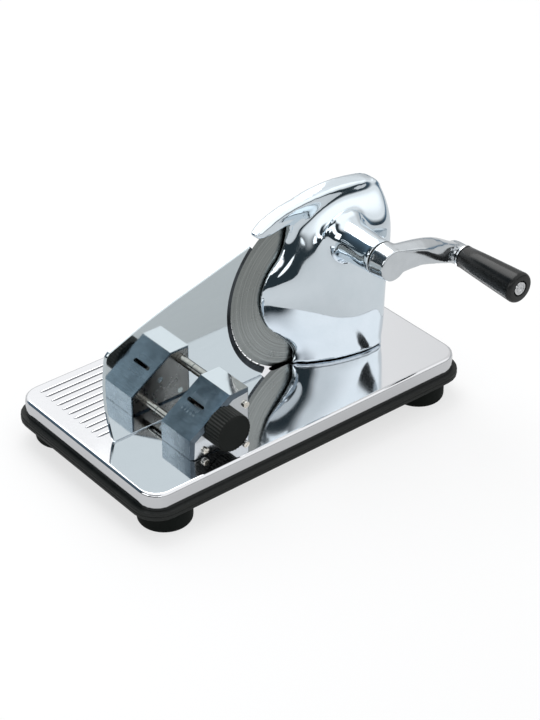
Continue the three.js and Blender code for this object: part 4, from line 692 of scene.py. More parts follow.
@dataclass
class BaseAssembly:
    """Pan, ribs, under frame and feet."""

    wardrobe: Wardrobe
    body: str = "stand"
    top_play: float = 0.05
    rib_side: float = 0.2
    rib_slope: float = 0.7
    foot_x: float = 152.0
    foot_y: float = 80.0
    foot_radius: float = 25.4
    foot_top: float = -25.4
    sole: float = -46.7
    screw_hole: float = 2.65
    head_hole: float = 6.0
    head_depth: float = 10.0

    def build(self) -> list[Piece]:
        """Builds and dresses the pieces."""
        pieces = [self.pan(), self.under_frame()]
        for side, across in (("front", -1.0), ("rear", 1.0)):
            for end, along in (("left", -1.0), ("right", 1.0)):
                pieces.append(self.foot(f"{side}_{end}", along, across))
                self.wardrobe.dress_nodes(SCREW_STEEL, f"foot_screw_{side}_{end}")
        for piece in pieces:
            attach(piece, self.body)
        return pieces

    def pan(self) -> Piece:
        """The pan with its pressed ribs, shade painted dark on their flanks, and rolled edge."""
        piece = Bench.eased("base_pan", radius=0.0, smooth=50.0)
        Bench.flatten_shading(piece)
        self.wardrobe.dress(piece, POLISHED_PAN)
        piece.data.materials.append(self.wardrobe.material(PAN_RIB_PAINTED_SHADE))
        feet: dict[float, set[int]] = {-1.0: set(), 1.0: set()}
        # Faces on the rib flanks take the second slot, the painted shade finish.
        for face in piece.data.polygons:
            if self.height(face.center) > self.top_play and abs(face.normal.y) > self.rib_side:
                face.material_index = 1
                points = (piece.data.vertices[i].co for i in face.vertices)
                feet[math.copysign(1.0, face.normal.y)] |= {
                    self.row(p) for p in points if self.on_top(p)}
        with Bench.editing():
            for side, rows in feet.items():
                Bench.choose_points(piece, lambda p, rows=rows: (
                    self.on_top(p) and self.row(p) in rows))
                bpy.ops.transform.translate(value=(0.0, side * self.rib_slope * MILLIMETRE, 0.0))
        return piece

    @staticmethod
    def height(place: Vector) -> float:
        """Millimetres of a place above the pan's top face."""
        return place.z / MILLIMETRE - PAN_TOP_MIDDLE.z

    def on_top(self, place: Vector) -> bool:
        """Whether a place lies in the pan's top face."""
        return abs(self.height(place)) < self.top_play

    @staticmethod
    def row(place: Vector) -> int:
        """A place's row across the pan, in tenths of a millimetre."""
        return round(place.y / MILLIMETRE * 10)

    def under_frame(self) -> Piece:
        """The moulded frame under the pan."""
        piece = Bench.eased("under_frame", radius=0.0004, smooth=50.0)
        Bench.flatten_shading(piece)
        self.wardrobe.dress(piece, BLACK_FRAME)
        return piece

    def foot(self, corner: str, along: float, across: float) -> Piece:
        """One rubber foot: a puck spun from its section, with the hole for its screw's head.

        Args:
            corner: the foot's place in words.
            along: -1 at the left end, 1 at the right.
            across: -1 on the user's side, 1 on the far side.

        Returns:
            The foot.
        """
        r, top, sole = self.foot_radius, self.foot_top, self.sole
        place = spot(along * self.foot_x, across * self.foot_y, 0)
        piece = Bench.spun(f"foot_{corner}_moulded", place, UPWARDS, [
            (top, self.screw_hole), (top, r - 2.2), (top - 0.3, r - 1.3), (top - 1.1, r - 0.5),
            (top - 2.2, r - 0.25), (sole + 3.4, r), (sole + 1.6, r - 0.2), (sole + 0.5, r - 0.8),
            (sole, r - 1.9), (sole, self.head_hole + 0.6), (sole + 0.6, self.head_hole),
            (sole + self.head_depth, self.head_hole),
            (sole + self.head_depth, self.screw_hole)], 72)
        Bench.shade(piece, 40.0)
        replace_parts(piece, f"foot_{corner}")
        self.wardrobe.dress(piece, FOOT_RUBBER)
        return piece


@dataclass
class BladeUnit:
    """Casting, cover, gears and the blade."""

    wardrobe: Wardrobe
    voxel: float = 0.0012
    evening: int = 9
    rough_buffing: int = 80
    rough_crease: float = 19.0
    buffing: int = 150
    crease: float = 8.0
    blade_radius: float = 85.0
    blade_bore: float = 8.15

    def build(self) -> list[Piece]:
        """Builds and dresses the pieces."""
        pieces = [self.casting(), self.blade(), self.cap()]
        self.wardrobe.dress_nodes(SCREW_STEEL, *(f"body_screw_{i}" for i in (1, 2, 3)),
                                  *(f"gear_cover_screw_{i}" for i in (1, 2, 3, 4)))
        self.wardrobe.dress_nodes(BUSH_BRONZE, "crank_bush_front", "crank_bush_rear", "blade_bush")
        self.wardrobe.dress_nodes(TURNED_STEEL, "blade_shaft", "blade_gear", "crank_gear",
                                  "crank_shaft", "blade_screw", "gear_cover")
        return pieces

    def casting(self) -> Piece:
        """The polished casting: the solid's form, evened all over and buffed between its edges."""
        piece = Bench.copy_of("body_casting", "body_casting_polished")
        Bench.apply(piece, "REMESH", mode="VOXEL", voxel_size=self.voxel, use_smooth_shade=True)
        Bench.apply(piece, "SMOOTH", factor=0.5, iterations=self.evening)
        Bench.buff(piece, self.rough_buffing, self.rough_crease, 1)
        Bench.buff(piece, self.buffing, self.crease)
        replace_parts(piece, "body_casting")
        self.wardrobe.dress(piece, POLISHED_CASTING)
        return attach(piece, "stand")

    def blade(self) -> Piece:
        """The ground blade: spun from its section, with the narrow bevel of its edge."""
        r, bore = self.blade_radius, self.blade_bore
        piece = Bench.spun("blade_ground", BLADE_FOOT, TOWARDS_USER, [
            (13.0, bore), (13.0, 57.0), (12.6, 59.4), (11.7, 61.0), (11.5, r - 0.1), (11.6, r),
            (11.8, r - 0.1), (12.9, r - 4.2), (13.02, r - 4.5), (15.2, 60.0), (15.6, 54.0),
            (15.6, bore)], 240)
        Bench.shade(piece, 4.0)
        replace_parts(piece, "blade")
        self.wardrobe.dress(piece, GROUND_STEEL)
        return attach(piece, "blade_set")

    def cap(self) -> Piece:
        """The cap that clamps the blade."""
        piece = Bench.eased("blade_cap", radius=0.0001, smooth=20.0)
        self.wardrobe.dress(piece, TURNED_STEEL)
        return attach(piece, "blade_set")


@dataclass
class CrankUnit:
    """Arm, washer and turning grip."""

    wardrobe: Wardrobe
    voxel: float = 0.0007
    evening: int = 3
    buffing: int = 80
    crease: float = 13.0
    end_blending: int = 70
    end_root: float = 76.0
    end_lip: float = 97.3
    end_reach: float = 17.0
    grip_back: float = 100.0
    grip_end: float = 172.5
    grip_thin: float = 11.0
    grip_thick: float = 15.0
    bore: float = 4.1
    pin_foot: float = 89.8
    pin_shoulder: float = 98.1
    head_radius: float = 6.6
    head_depth: float = 2.4

    def build(self) -> list[Piece]:
        """Builds and dresses the pieces."""
        pieces = [self.arm(), self.grip(), self.pin()]
        self.wardrobe.dress_nodes(BLACK_FRAME, "crank_washer")
        self.wardrobe.dress_nodes(SCREW_STEEL, "crank_grub_screw")
        self.wardrobe.dress_nodes(TURNED_STEEL, "grip_collar")
        return pieces

    def arm(self) -> Piece:
        """The polished arm with its hub."""
        piece = Bench.copy_of("crank_arm", "crank_arm_polished")
        Bench.apply(piece, "REMESH", mode="VOXEL", voxel_size=self.voxel, use_smooth_shade=True)
        Bench.apply(piece, "SMOOTH", factor=0.5, iterations=self.evening)
        Bench.buff(piece, self.buffing, self.crease)
        group = piece.vertex_groups.new(name="end at the grip")
        end = [point.index for point in piece.data.vertices if self.at_end(point.co)]
        group.add(end, 1.0, "REPLACE")
        Bench.apply(piece, "SMOOTH", factor=0.5, iterations=self.end_blending,
                    vertex_group=group.name)
        piece.vertex_groups.clear()
        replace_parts(piece, "crank_arm")
        self.wardrobe.dress(piece, POLISHED_ARM)
        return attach(piece, "crank")

    def at_end(self, place: Vector) -> bool:
        """Whether a place on the arm lies where it runs into the grip's seat."""
        along = (GRIP_FOOT.y - place.y) / MILLIMETRE
        across = math.hypot(place.x - GRIP_FOOT.x, place.z - GRIP_FOOT.z) / MILLIMETRE
        return self.end_root < along < self.end_lip and across < self.end_reach

    def grip(self) -> Piece:
        """The tapered grip, with the round seat for the pin's head in its thick end."""
        back, end, thin, thick = self.grip_back, self.grip_end, self.grip_thin, self.grip_thick
        seat = self.head_radius + 1.2
        floor = end - self.head_depth - 0.3
        piece = Bench.spun("grip_moulded", GRIP_FOOT, TOWARDS_USER, [
            (back, self.bore), (back, thin - 1.0), (back + 0.25, thin - 0.5), (back + 0.9, thin),
            (back + 20.0, thin + 1.3), (back + 45.0, thin + 2.7), (end - 5.0, thick - 0.1),
            (end - 3.6, thick), (end - 2.2, thick - 0.25), (end - 1.0, thick - 0.9),
            (end - 0.3, thick - 1.8), (end, thick - 3.0), (end, seat + 0.4), (end - 0.4, seat),
            (floor, seat), (floor, self.bore)], 96)
        Bench.shade(piece, 40.0)
        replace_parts(piece, "grip_handle")
        self.wardrobe.dress(piece, BLACK_GRIP)
        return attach(piece, "grip")

    def pin(self) -> Piece:
        """The pin whose bright ringed head shows in the grip's end."""
        end, head, shank = self.grip_end, self.head_radius, self.bore - 0.1
        foot, shoulder, floor = self.pin_foot, self.pin_shoulder, end - self.head_depth
        piece = Bench.turned("grip_pin_turned", GRIP_FOOT, TOWARDS_USER, [
            (foot, shank - 1.3), (foot + 0.3, shank - 1.0), (shoulder, shank - 1.0),
            (shoulder + 0.01, shank), (floor, shank), (floor + 0.01, head), (end - 0.7, head),
            (end - 0.25, head - 0.3), (end, head - 0.9), (end - 0.05, head - 1.9),
            (end - 0.6, head - 2.2), (end - 0.6, head - 2.7), (end - 0.05, head - 3.0),
            (end, head - 3.4), (end - 0.1, 1.9), (end - 0.9, 1.4), (end - 1.0, 0.0)], 64)
        Bench.shade(piece, 30.0)
        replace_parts(piece, "grip_pin")
        self.wardrobe.dress(piece, TURNED_STEEL)
        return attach(piece, "crank")


@dataclass
class GuideUnit:
    """Guide plate, its rods and the carriage behind the housing."""

    wardrobe: Wardrobe
    face: float = 15.0
    back: float = 11.0
    solid_hollow: float = 91.0
    hollow_play: float = 0.7
    hollow: float = 85.9
    cutter_width: float = 6.0
    cutter_play: float = 1.0
    in_plane: float = 0.5
    rounding: float = 3.4
    rounded_from: float = 0.05
    rounded_to: float = 0.995
    # Millimetres in from the rounding's outer edge where the painted highlight line starts and
    # ends.
    line_from: float = 1.5
    line_to: float = 2.1
    rounding_steps: int = 7

    def build(self) -> list[Piece]:
        """Builds and dresses the pieces."""
        pieces = [self.plate()]
        self.wardrobe.dress_nodes(ROD_STEEL, "guide_rod_upper", "guide_rod_lower",
                                  "carriage_yoke", "thickness_pointer")
        self.wardrobe.dress_nodes(SCREW_STEEL, "rod_screw_upper", "rod_screw_lower")
        return pieces

    def plate(self) -> Piece:
        """The polished plate that the food slides on, rounded over along its hollow edge, with a
        dark reflection painted on the rounding and a highlight line painted in it.
        """
        piece = Bench.eased("guide_plate", radius=0.0002, smooth=30.0)
        share = (self.hollow - 0.1) / self.solid_hollow
        with Bench.editing():
            Bench.choose_points(piece, lambda p: (
                abs(self.from_blade(p) - self.solid_hollow) < self.hollow_play))
            bpy.ops.transform.resize(value=(share, 1.0, share), center_override=BLADE_FOOT)
        inner, outer = self.hollow - self.cutter_width, self.hollow + self.rounding
        below, above = self.back - self.cutter_play, self.face + self.cutter_play
        profile = [(below, inner), (above, inner), (above, outer)]
        for i in range(self.rounding_steps + 1):
            angle = math.pi / 2 * i / self.rounding_steps
            profile.append((self.face - self.rounding * (1 - math.cos(angle)),
                            outer - self.rounding * math.sin(angle)))
        profile.append((below, self.hollow))
        Bench.cut(piece, Bench.spun("guide_cutter", BLADE_FOOT, TOWARDS_USER, profile, 288))
        Bench.take(piece)
        with Bench.editing():
            bpy.ops.mesh.dissolve_limited(angle_limit=math.radians(self.in_plane))
        Bench.shade(piece, 30.0)
        Bench.flatten_shading(piece)
        self.wardrobe.dress(piece, GUIDE_STEEL)
        # The rounding's faces take the painted dark reflection, and a thin band within it takes the
        # painted highlight line.
        for finish in (GUIDE_EDGE_PAINTED_DARK, GUIDE_PAINTED_HIGHLIGHT):
            piece.data.materials.append(self.wardrobe.material(finish))
        for face in piece.data.polygons:
            inwards = outer - self.from_blade(face.center)
            if inwards > 0.0 and self.rounded_from < -face.normal.y < self.rounded_to:
                face.material_index = 2 if self.line_from < inwards < self.line_to else 1
        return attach(piece, "guide")

    @staticmethod
    def from_blade(place: Vector) -> float:
        """Millimetres of a place from the blade's axis."""
        return math.hypot(place.x - BLADE_FOOT.x, place.z - BLADE_FOOT.z) / MILLIMETRE


class HousingFace(Enum):
    """The housing's faces by the place of their finish in its slots; each way a face points takes
    its own tone, as painted light and shade.
    """

    SLOPE = 0
    FRONT = 1
    SIDE = 2
    CHAMFER = 3
    EDGE = 4
    TOP = 5


@dataclass
class SettingUnit:
    """Housing with its scale, spindle and knob."""

    wardrobe: Wardrobe
    left: float = -122.5
    right: float = -56.5
    ridge: float = -77.0
    low: float = 20.5
    top: float = 50.5
    front: float = -82.4
    first_chamfer: float = 0.8
    more_chamfer: float = 1.9
    square_on: float = 0.9
    leaning: float = 0.3
    level: float = 0.95
    sloping: float = 0.4
    edge_width: float = 0.32
    wall_play: float = 0.05
    ring_play: float = 0.1
    slope_ring_play: float = 0.15
    ring_reach: float = 1.0
    slot_x: float = -96.85
    first_mark: float = -46.4
    mark_count: int = 10
    mark_pitch: float = 2.0
    mark_gap: float = 3.0
    mark_width: float = 0.3
    mark_height: float = 0.24
    mark_reaches: tuple[Pair, Pair] = ((6.0, 4.6), (4.4, 3.2))
    number_size: float = 3.4
    number_drop: float = 5.4
    number_height: float = 0.06
    screw_places: tuple[Pair, ...] = ((-108.0, 6.2), (-62.2, 36.0), (-62.2, 7.4))
    screw_tip: float = 76.7
    screw_slot: Triple = (8.0, 1.5, 0.85)
    screw_turn: float = 38.0
    knob_back: float = 82.9
    knob_length: float = 18.0
    knob_radius: float = 18.4
    flutes: int = 36
    flute_depth: float = 0.9
    flute_side_depth: float = 0.405
    rim_steps: tuple[Pair, ...] = ((0.975, 0.45), (0.965, 0.25))
    rim_play: float = 0.00001
    knob_bore: float = 4.15
    knob_bore_depth: float = 14.0

    @property
    def slope(self) -> float:
        """Angle of the sloping face above the pan."""
        return math.atan2(self.top - self.low, self.ridge - self.left)

    def build(self) -> list[Piece]:
        """Builds and dresses the pieces."""
        pieces = [self.housing(), self.marks(), self.back_plate(), self.knob(), *self.screws()]
        self.wardrobe.dress_nodes(TURNED_STEEL, "spindle_bearing_plate", "setting_spindle",
                                  "spindle_clip")
        self.wardrobe.dress_nodes(SCREW_STEEL, "knob_grub_screw", "back_plate_screw_1",
                                  "back_plate_screw_2", "housing_screw_1", "housing_screw_2")
        return pieces

    def housing(self) -> Piece:
        """The housing, with a broad chamfer round its front painted dark, thin edges painted
        bright, and each face's tone painted by the way it points.
        """
        piece = Bench.copy_of("scale_housing", "scale_housing_finished")
        self.chamfer(piece)
        piece.data.materials.clear()
        for finish in (HOUSING_METAL, HOUSING_FACE_PAINTED_LIGHT, HOUSING_SIDE_PAINTED_LIGHT, HOUSING_CHAMFER_PAINTED_DARK, HOUSING_EDGE_PAINTED_HIGHLIGHT,
                       HOUSING_TOP_PAINTED_LIGHT):
            piece.data.materials.append(self.wardrobe.material(finish))
        # Each face takes a finish by its normal: light and shade painted on the top, front, side
        # and chamfer.
        for face in piece.data.polygons:
            face.material_index = self.side_of(face.normal).value
        # The bevel's new faces take the painted highlight finish.
        Bench.apply(piece, "BEVEL", width=self.edge_width * MILLIMETRE, segments=2,
                    limit_method="ANGLE", angle_limit=math.radians(30.0), use_clamp_overlap=True,
                    material=HousingFace.EDGE.value)
        Bench.shade(piece, 30.0)
        Bench.flatten_shading(piece)
        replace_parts(piece, "scale_housing")
        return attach(piece, "stand")

    def side_of(self, normal: Vector) -> HousingFace:
        """Which of the housing's faces has a normal, and so which painted light or shade tone it
        takes.
        """
        if normal.y < -self.square_on:
            return HousingFace.FRONT
        if abs(normal.y) > self.leaning:
            return HousingFace.CHAMFER
        if normal.z > self.level:
            return HousingFace.TOP
        return HousingFace.SLOPE if normal.z > self.sloping else HousingFace.SIDE

    def chamfer(self, piece: Piece) -> None:
        """Widens the chamfer round the housing's front by drawing its two rings in."""
        front, ring = self.front + self.ring_play, self.first_chamfer + self.ring_play
        borders = {
            (1.0, 0.0, 0.0): lambda p: p.x < self.left + ring,
            (-1.0, 0.0, 0.0): lambda p: p.x > self.right - ring,
            (0.0, 0.0, -1.0): lambda p: p.z > self.top - ring,
            (math.sin(self.slope), 0.0, -math.cos(self.slope)): self.under_slope,
        }
        places = {point.index: point.co / MILLIMETRE - PAN_TOP_MIDDLE
                  for point in piece.data.vertices}
        moves = [(inward, {i for i, place in places.items() if place.y < front and near(place)})
                 for inward, near in borders.items()]
        moves.append(((0.0, 1.0, 0.0), {
            i for i, place in places.items()
            if front < place.y < front + self.ring_reach and self.on_outline(place)}))
        with Bench.editing():
            for inward, members in moves:
                shape = bmesh.from_edit_mesh(piece.data)
                for part in (*shape.verts, *shape.edges, *shape.faces):
                    part.select = False
                for point in shape.verts:
                    point.select = point.index in members
                bmesh.update_edit_mesh(piece.data)
                bpy.ops.transform.translate(
                    value=Vector(inward) * self.more_chamfer * MILLIMETRE)

    def below_slope(self, place: Vector) -> float:
        """Millimetres that a place lies below the sloping face, measured upright."""
        return self.low + (place.x - self.left) * math.tan(self.slope) - place.z

    def under_slope(self, place: Vector) -> bool:
        """Whether a place on the front lies on the ring along the sloping edge."""
        depth = self.below_slope(place) * math.cos(self.slope)
        return (place.x < self.ridge + self.ring_reach
                and depth < self.first_chamfer + self.slope_ring_play)

    def on_outline(self, place: Vector) -> bool:
        """Whether a place lies on the housing's outer walls."""
        on_slope = place.x < self.ridge and self.below_slope(place) < self.wall_play
        return (place.x < self.left + self.wall_play or place.x > self.right - self.wall_play
                or place.z > self.top - self.wall_play or on_slope)

    def marks(self) -> Piece:
        """The scale: thin raised lines on both sides of the slot, and plain numbers below it."""
        frame_turn = self.slope_frame()
        parts = []
        for i in range(self.mark_count):
            for side, reach in zip((1.0, -1.0), self.mark_reaches[i % 2]):
                along = side * (self.mark_gap + reach / 2)
                parts.append(self.mark_line(along, i * self.mark_pitch, reach, frame_turn))
            if i % 2 == 0:
                parts.append(self.number(i * int(self.mark_pitch), i * self.mark_pitch, frame_turn))
        Bench.take(parts[0])
        for part in parts[1:]:
            part.select_set(True)
        bpy.ops.object.join()
        piece = bpy.context.object
        piece.name = "scale_marks"
        Bench.outward(piece)
        self.wardrobe.dress(piece, SCALE_MARKS)
        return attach(piece, "stand")

    def slope_frame(self) -> Matrix:
        """Axes on the sloping face: towards the user, up the slope, and off the face."""
        up = Vector((math.cos(self.slope), 0.0, math.sin(self.slope)))
        off = Vector((-math.sin(self.slope), 0.0, math.cos(self.slope)))
        rise = (self.slot_x - self.left) * math.tan(self.slope)
        middle = spot(self.slot_x, self.first_mark, self.low + rise)
        turn = Matrix((TOWARDS_USER, up, off)).transposed().to_4x4()
        return Matrix.Translation(middle) @ turn

    def mark_line(self, along: float, across: float, reach: float,
                  frame_turn: Matrix) -> Piece:
        """One raised line of the scale.

        Args:
            along: millimetres up the slope from the slot's middle.
            across: millimetres from the first mark.
            reach: the line's length.
            frame_turn: the sloping face's axes.

        Returns:
            The line as a piece.
        """
        Bench.clear()
        bpy.ops.mesh.primitive_cube_add(size=MILLIMETRE)
        line = bpy.context.object
        line.scale = (self.mark_width, reach, self.mark_height)
        Bench.settle(line)
        with Bench.editing():
            Bench.choose_faces(line, lambda _, normal: normal.z > self.square_on)
            bpy.ops.mesh.inset(thickness=0.06 * MILLIMETRE, depth=0.04 * MILLIMETRE)
        place = Vector((across, along, 0.0))
        line.matrix_world = frame_turn @ Matrix.Translation(place * MILLIMETRE)
        Bench.settle(line)
        return line

    def number(self, value: int, across: float, frame_turn: Matrix) -> Piece:
        """One plain number of the scale, below its line.

        Args:
            value: the number.
            across: millimetres from the first mark.
            frame_turn: the sloping face's axes.

        Returns:
            The number as a piece.
        """
        Bench.clear()
        bpy.ops.object.text_add()
        text = bpy.context.object
        text.data.body = str(value)
        text.data.size = self.number_size * MILLIMETRE
        text.data.align_x = "CENTER"
        text.data.align_y = "TOP"
        text.data.extrude = self.number_height * MILLIMETRE
        text.data.resolution_u = 3
        Bench.take(text)
        bpy.ops.object.convert(target="MESH")
        text = bpy.context.object
        place = Vector((across, -self.mark_gap - self.number_drop, self.number_height))
        text.matrix_world = frame_turn @ Matrix.Translation(place * MILLIMETRE)
        Bench.settle(text)
        return text

    def back_plate(self) -> Piece:
        """The plate that closes the housing."""
        piece = Bench.eased("housing_back_plate", radius=0.0003, smooth=30.0)
        Bench.flatten_shading(piece)
        self.wardrobe.dress(piece, BACK_PLATE)
        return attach(piece, "stand")

    def screws(self) -> list[Piece]:
        """The three cheese head screws: turned once, slotted, and copied."""
        first_x, first_z = self.screw_places[0]
        foot = spot(first_x, 0, first_z)
        head = -self.front + 0.3
        top = head + 2.2
        model = Bench.turned("front_screw_1_slotted", foot, TOWARDS_USER, [
            (self.screw_tip, 1.2), (self.screw_tip + 0.3, 1.5), (head, 1.5), (head + 0.01, 3.3),
            (top - 0.7, 3.3), (top - 0.3, 3.15), (top - 0.05, 2.8), (top, 2.3), (top, 0.0)], 48)
        Bench.clear()
        bpy.ops.mesh.primitive_cube_add(size=MILLIMETRE, location=spot(first_x, -top, first_z))
        blade = bpy.context.object
        blade.scale = self.screw_slot
        blade.rotation_euler = (0.0, math.radians(self.screw_turn), 0.0)
        Bench.settle(blade)
        Bench.cut(model, blade)
        Bench.shade(model, 30.0)
        pieces = [model]
        for i, (x, z) in enumerate(self.screw_places[1:], start=2):
            copy = bpy.data.objects.new(f"front_screw_{i}_slotted", model.data.copy())
            bpy.context.scene.collection.objects.link(copy)
            copy.location = Vector((x - first_x, 0.0, z - first_z)) * MILLIMETRE
            Bench.settle(copy)
            pieces.append(copy)
        for i, piece in enumerate(pieces, start=1):
            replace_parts(piece, f"front_screw_{i}")
            self.wardrobe.dress(piece, SCREW_STEEL)
            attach(piece, "stand")
        return pieces

    def knob(self) -> Piece:
        """The knob: a cylinder fluted by drawing its columns in, with an eased rim."""
        Bench.clear()
        back, length = self.knob_back * MILLIMETRE, self.knob_length * MILLIMETRE
        bpy.ops.mesh.primitive_cylinder_add(
            vertices=4 * self.flutes, radius=self.knob_radius * MILLIMETRE, depth=length,
            end_fill_type="NGON", location=(0, 0, back + length / 2))
        piece = bpy.context.object
        piece.name = "setting_knob_fluted"
        Bench.settle(piece)
        step = math.pi / (2 * self.flutes)
        with Bench.editing():
            for every, which, depth in ((4, 0, self.flute_depth), (2, 1, self.flute_side_depth)):
                Bench.choose_points(piece, lambda p, every=every, which=which: (
                    round(math.atan2(p.x, p.y) / step) % every == which))
                share = 1.0 - depth / self.knob_radius
                bpy.ops.transform.resize(value=(share, share, 1.0), center_override=(0, 0, 0))
            for end, sign in ((back + length, 1.0), (back, -1.0)):
                for share, rise in self.rim_steps:
                    Bench.choose_faces(piece, lambda middle, normal, end=end, sign=sign: (
                        normal.z * sign > self.square_on
                        and (middle.z - end) * sign > -self.rim_play))
                    bpy.ops.mesh.extrude_region_move(
                        TRANSFORM_OT_translate={"value": (0, 0, sign * rise * MILLIMETRE)})
                    bpy.ops.transform.resize(value=(share, share, 1.0), center_override=(0, 0, 0))
        Bench.stand_along(piece, SPINDLE_FOOT, TOWARDS_USER)
        Bench.clear()
        depth = (self.knob_bore_depth + 1.0) * MILLIMETRE
        bpy.ops.mesh.primitive_cylinder_add(
            vertices=32, radius=self.knob_bore * MILLIMETRE, depth=depth,
            location=(0, 0, back - MILLIMETRE + depth / 2))
        bore = bpy.context.object
        Bench.settle(bore)
        Bench.stand_along(bore, SPINDLE_FOOT, TOWARDS_USER)
        Bench.cut(piece, bore)
        Bench.shade(piece, 30.0)
        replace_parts(piece, "setting_knob")
        self.wardrobe.dress(piece, BLACK_KNOB)
        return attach(piece, "setting")


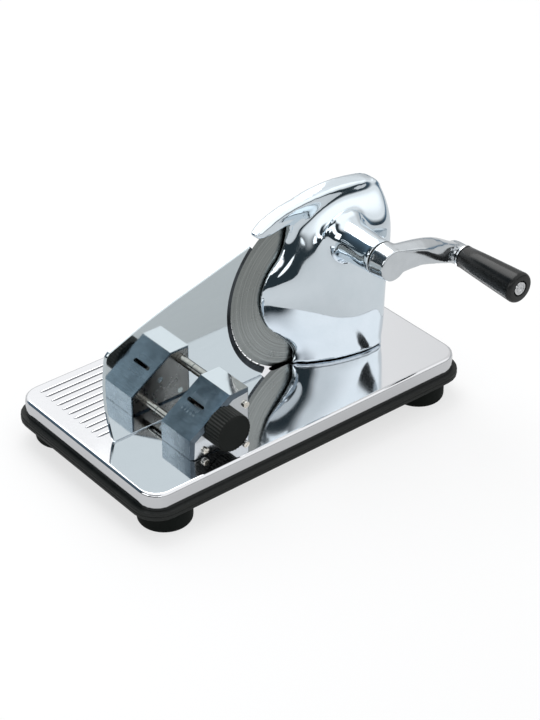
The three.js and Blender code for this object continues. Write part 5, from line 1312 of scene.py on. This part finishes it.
@dataclass
class Studio:
    """Pale floor, soft light, the room that the metal mirrors, and the camera.

    Most of the room's pairs are where a soft step between its walls starts and ends, as the
    part of a view's direction that points up, to the right, to the user or ahead.
    """

    floor_size: float = 8.0
    floor_tone: Colour = (0.86, 0.86, 0.86)
    floor_share: float = 0.68
    floor_mirrored: float = 0.54
    wall_left: float = 1.22
    wall_right: float = 0.82
    front_gain: float = 1.45
    right_wall: Pair = (0.0, 0.2)
    right_wall_foot: Pair = (0.03, 0.16)
    right_wall_lean: tuple[float, ...] = (0.46, 0.64, 0.42, 0.25)
    front_wall: Pair = (0.05, 0.4)
    front_wall_foot: Pair = (0.34, 0.43)
    front_wall_head: tuple[float, ...] = (0.58, 0.67, 1.0, 0.0)
    wall_ahead: Pair = (0.36, 0.66)
    wall_ahead_foot: Pair = (-0.02, 0.10)
    walls_dim: tuple[float, ...] = (0.2, 0.5, 0.7, 1.0)
    walls_across: Pair = (-0.16, 0.20)
    dark_across: Pair = (-0.25, 0.55)
    ceiling: Pair = (0.76, 0.97)
    dark_tone: Colour = (0.022, 0.032, 0.038)
    dark_tone_behind: Colour = (0.13, 0.20, 0.27)
    ceiling_tone: Colour = (1.15, 1.16, 1.18)
    softboxes: tuple[tuple[str, Triple, float, float], ...] = (
        ("overhead softbox", (0.25, 0.75, 1.5), 1.3, 13.0),
        ("left softbox", (-1.5, 0.1, 0.9), 0.9, 4.0),
        ("front softbox", (-0.83, -1.50, 0.65), 0.45, 0.8))
    aimed_at: Triple = (0.0, 0.0, 0.1)
    camera_place: Vector = field(default_factory=lambda: Vector((-1.0028, -1.2304, 1.1344)))
    looking: Vector = field(default_factory=lambda: Vector((0.52616, 0.64398, -0.55543)))
    lens: float = 103.2
    sensor: float = 36.0

    def build(self) -> None:
        """Builds the studio."""
        self.floor()
        self.room()
        self.lamps()
        self.camera()

    def floor(self) -> None:
        """The pale floor: white to the eye, greyer to the metal, with the object's soft shadow."""
        Bench.clear()
        bpy.ops.mesh.primitive_plane_add(size=self.floor_size)
        piece = bpy.context.object
        piece.name = "studio_floor"
        material = bpy.data.materials.new("studio floor")
        material.use_nodes = True
        graph = Graph(material.node_tree)
        surface = graph.nodes["Principled BSDF"]
        graph.feed(surface, {"Base Color": (*self.floor_tone, 1.0), "Roughness": 1.0,
                             "Specular IOR Level": 0.0})
        path = graph.add("LightPath")
        strength = graph.add("MapRange", {"Value": path["Is Camera Ray"],
                                          "To Min": self.floor_mirrored})
        glow = graph.add("Emission", {"Color": (1.0, 1.0, 1.0, 1.0),
                                      "Strength": strength["Result"]})
        seen = graph.sum("MAXIMUM", path["Is Camera Ray"], path["Is Glossy Ray"])
        seen = graph.sum("MAXIMUM", seen, path["Is Transmission Ray"])
        blend = graph.add("MixShader", {"Fac": graph.sum("MULTIPLY", seen, self.floor_share),
                                        1: surface.outputs["BSDF"], 2: glow["Emission"]})
        graph.feed(graph.nodes["Material Output"], {"Surface": blend["Shader"]})
        piece.data.materials.append(material)

    def room(self) -> None:
        """The room: white walls ahead and at the right, a light band high on the user's side,
        a white ceiling, and dark elsewhere.
        """
        world = bpy.data.worlds.new("studio room")
        bpy.context.scene.world = world
        world.use_nodes = True
        graph = Graph(world.node_tree)
        step, sum_of = graph.step, graph.sum
        place = graph.add("TexCoord")["Generated"]
        ahead = Vector((self.looking.x, self.looking.y, 0.0)).normalized()
        aside = Vector((ahead.y, -ahead.x, 0.0))
        rightwards, towards, height, sideways, behind = (
            graph.add("VectorMath", {0: place, 1: direction}, operation="DOT_PRODUCT")["Value"]
            for direction in ((1.0, 0.0, 0.0), TOWARDS_USER, UPWARDS, aside, ahead))
        lean = step(height, *self.right_wall_lean)
        right = sum_of("MULTIPLY", step(sum_of("ADD", rightwards, lean), *self.right_wall),
                       step(height, *self.right_wall_foot))
        band = sum_of("MULTIPLY", step(height, *self.front_wall_foot),
                      step(height, *self.front_wall_head))
        front = sum_of("MULTIPLY", band, step(towards, *self.front_wall))
        beyond = sum_of("MULTIPLY", step(behind, *self.wall_ahead),
                        step(height, *self.wall_ahead_foot))
        walls = sum_of("MAXIMUM", sum_of("MAXIMUM", right, front), beyond)
        level = sum_of("MULTIPLY", step(height, *self.walls_dim),
                       step(sideways, *self.walls_across, self.wall_left, self.wall_right))
        level = sum_of("MULTIPLY", level, step(towards, *self.front_wall, 1.0, self.front_gain))
        wall = graph.add("CombineColor", {0: level, 1: level, 2: level})["Color"]
        dark = graph.mix(step(behind, *self.dark_across), self.dark_tone, self.dark_tone_behind)
        lit = graph.mix(step(height, *self.ceiling), graph.mix(walls, dark, wall),
                        self.ceiling_tone)
        seen = graph.mix(graph.add("LightPath")["Is Camera Ray"], lit, (1.0, 1.0, 1.0))
        graph.feed(graph.nodes["Background"], {"Color": seen})

    def lamps(self) -> None:
        """Three soft lamps: overhead, from the left, and a small one at the front left."""
        for name, place, size, power in self.softboxes:
            lamp = bpy.data.lights.new(name, "AREA")
            lamp.size = size
            lamp.energy = power
            holder = bpy.data.objects.new(name, lamp)
            holder.location = place
            aim = Vector(self.aimed_at) - Vector(place)
            holder.rotation_mode = "QUATERNION"
            holder.rotation_quaternion = aim.to_track_quat("-Z", "Y")
            bpy.context.scene.collection.objects.link(holder)

    def camera(self) -> None:
        """The camera at the photograph's place."""
        lens = bpy.data.cameras.new("photograph")
        lens.lens = self.lens
        lens.sensor_width = self.sensor
        lens.sensor_fit = "AUTO"
        lens.clip_end = 50.0
        holder = bpy.data.objects.new("photograph", lens)
        holder.location = self.camera_place
        holder.rotation_mode = "QUATERNION"
        holder.rotation_quaternion = self.looking.to_track_quat("-Z", "Y")
        bpy.context.scene.collection.objects.link(holder)
        bpy.context.scene.camera = holder
        bpy.context.scene.view_settings.view_transform = "Standard"


def main() -> None:
    """Builds the sub-assemblies in order, then the studio, and logs each piece's face count."""
    logging.basicConfig(level=logging.INFO, format="%(message)s")
    wardrobe = Wardrobe()
    for unit in (BaseAssembly(wardrobe), BladeUnit(wardrobe), CrankUnit(wardrobe),
                 GuideUnit(wardrobe), SettingUnit(wardrobe)):
        for piece in unit.build():
            LOG.info("%s: %s, %d faces", type(unit).__name__, piece.name, len(piece.data.polygons))
    Studio().build()


if __name__ == "__main__":
    main()
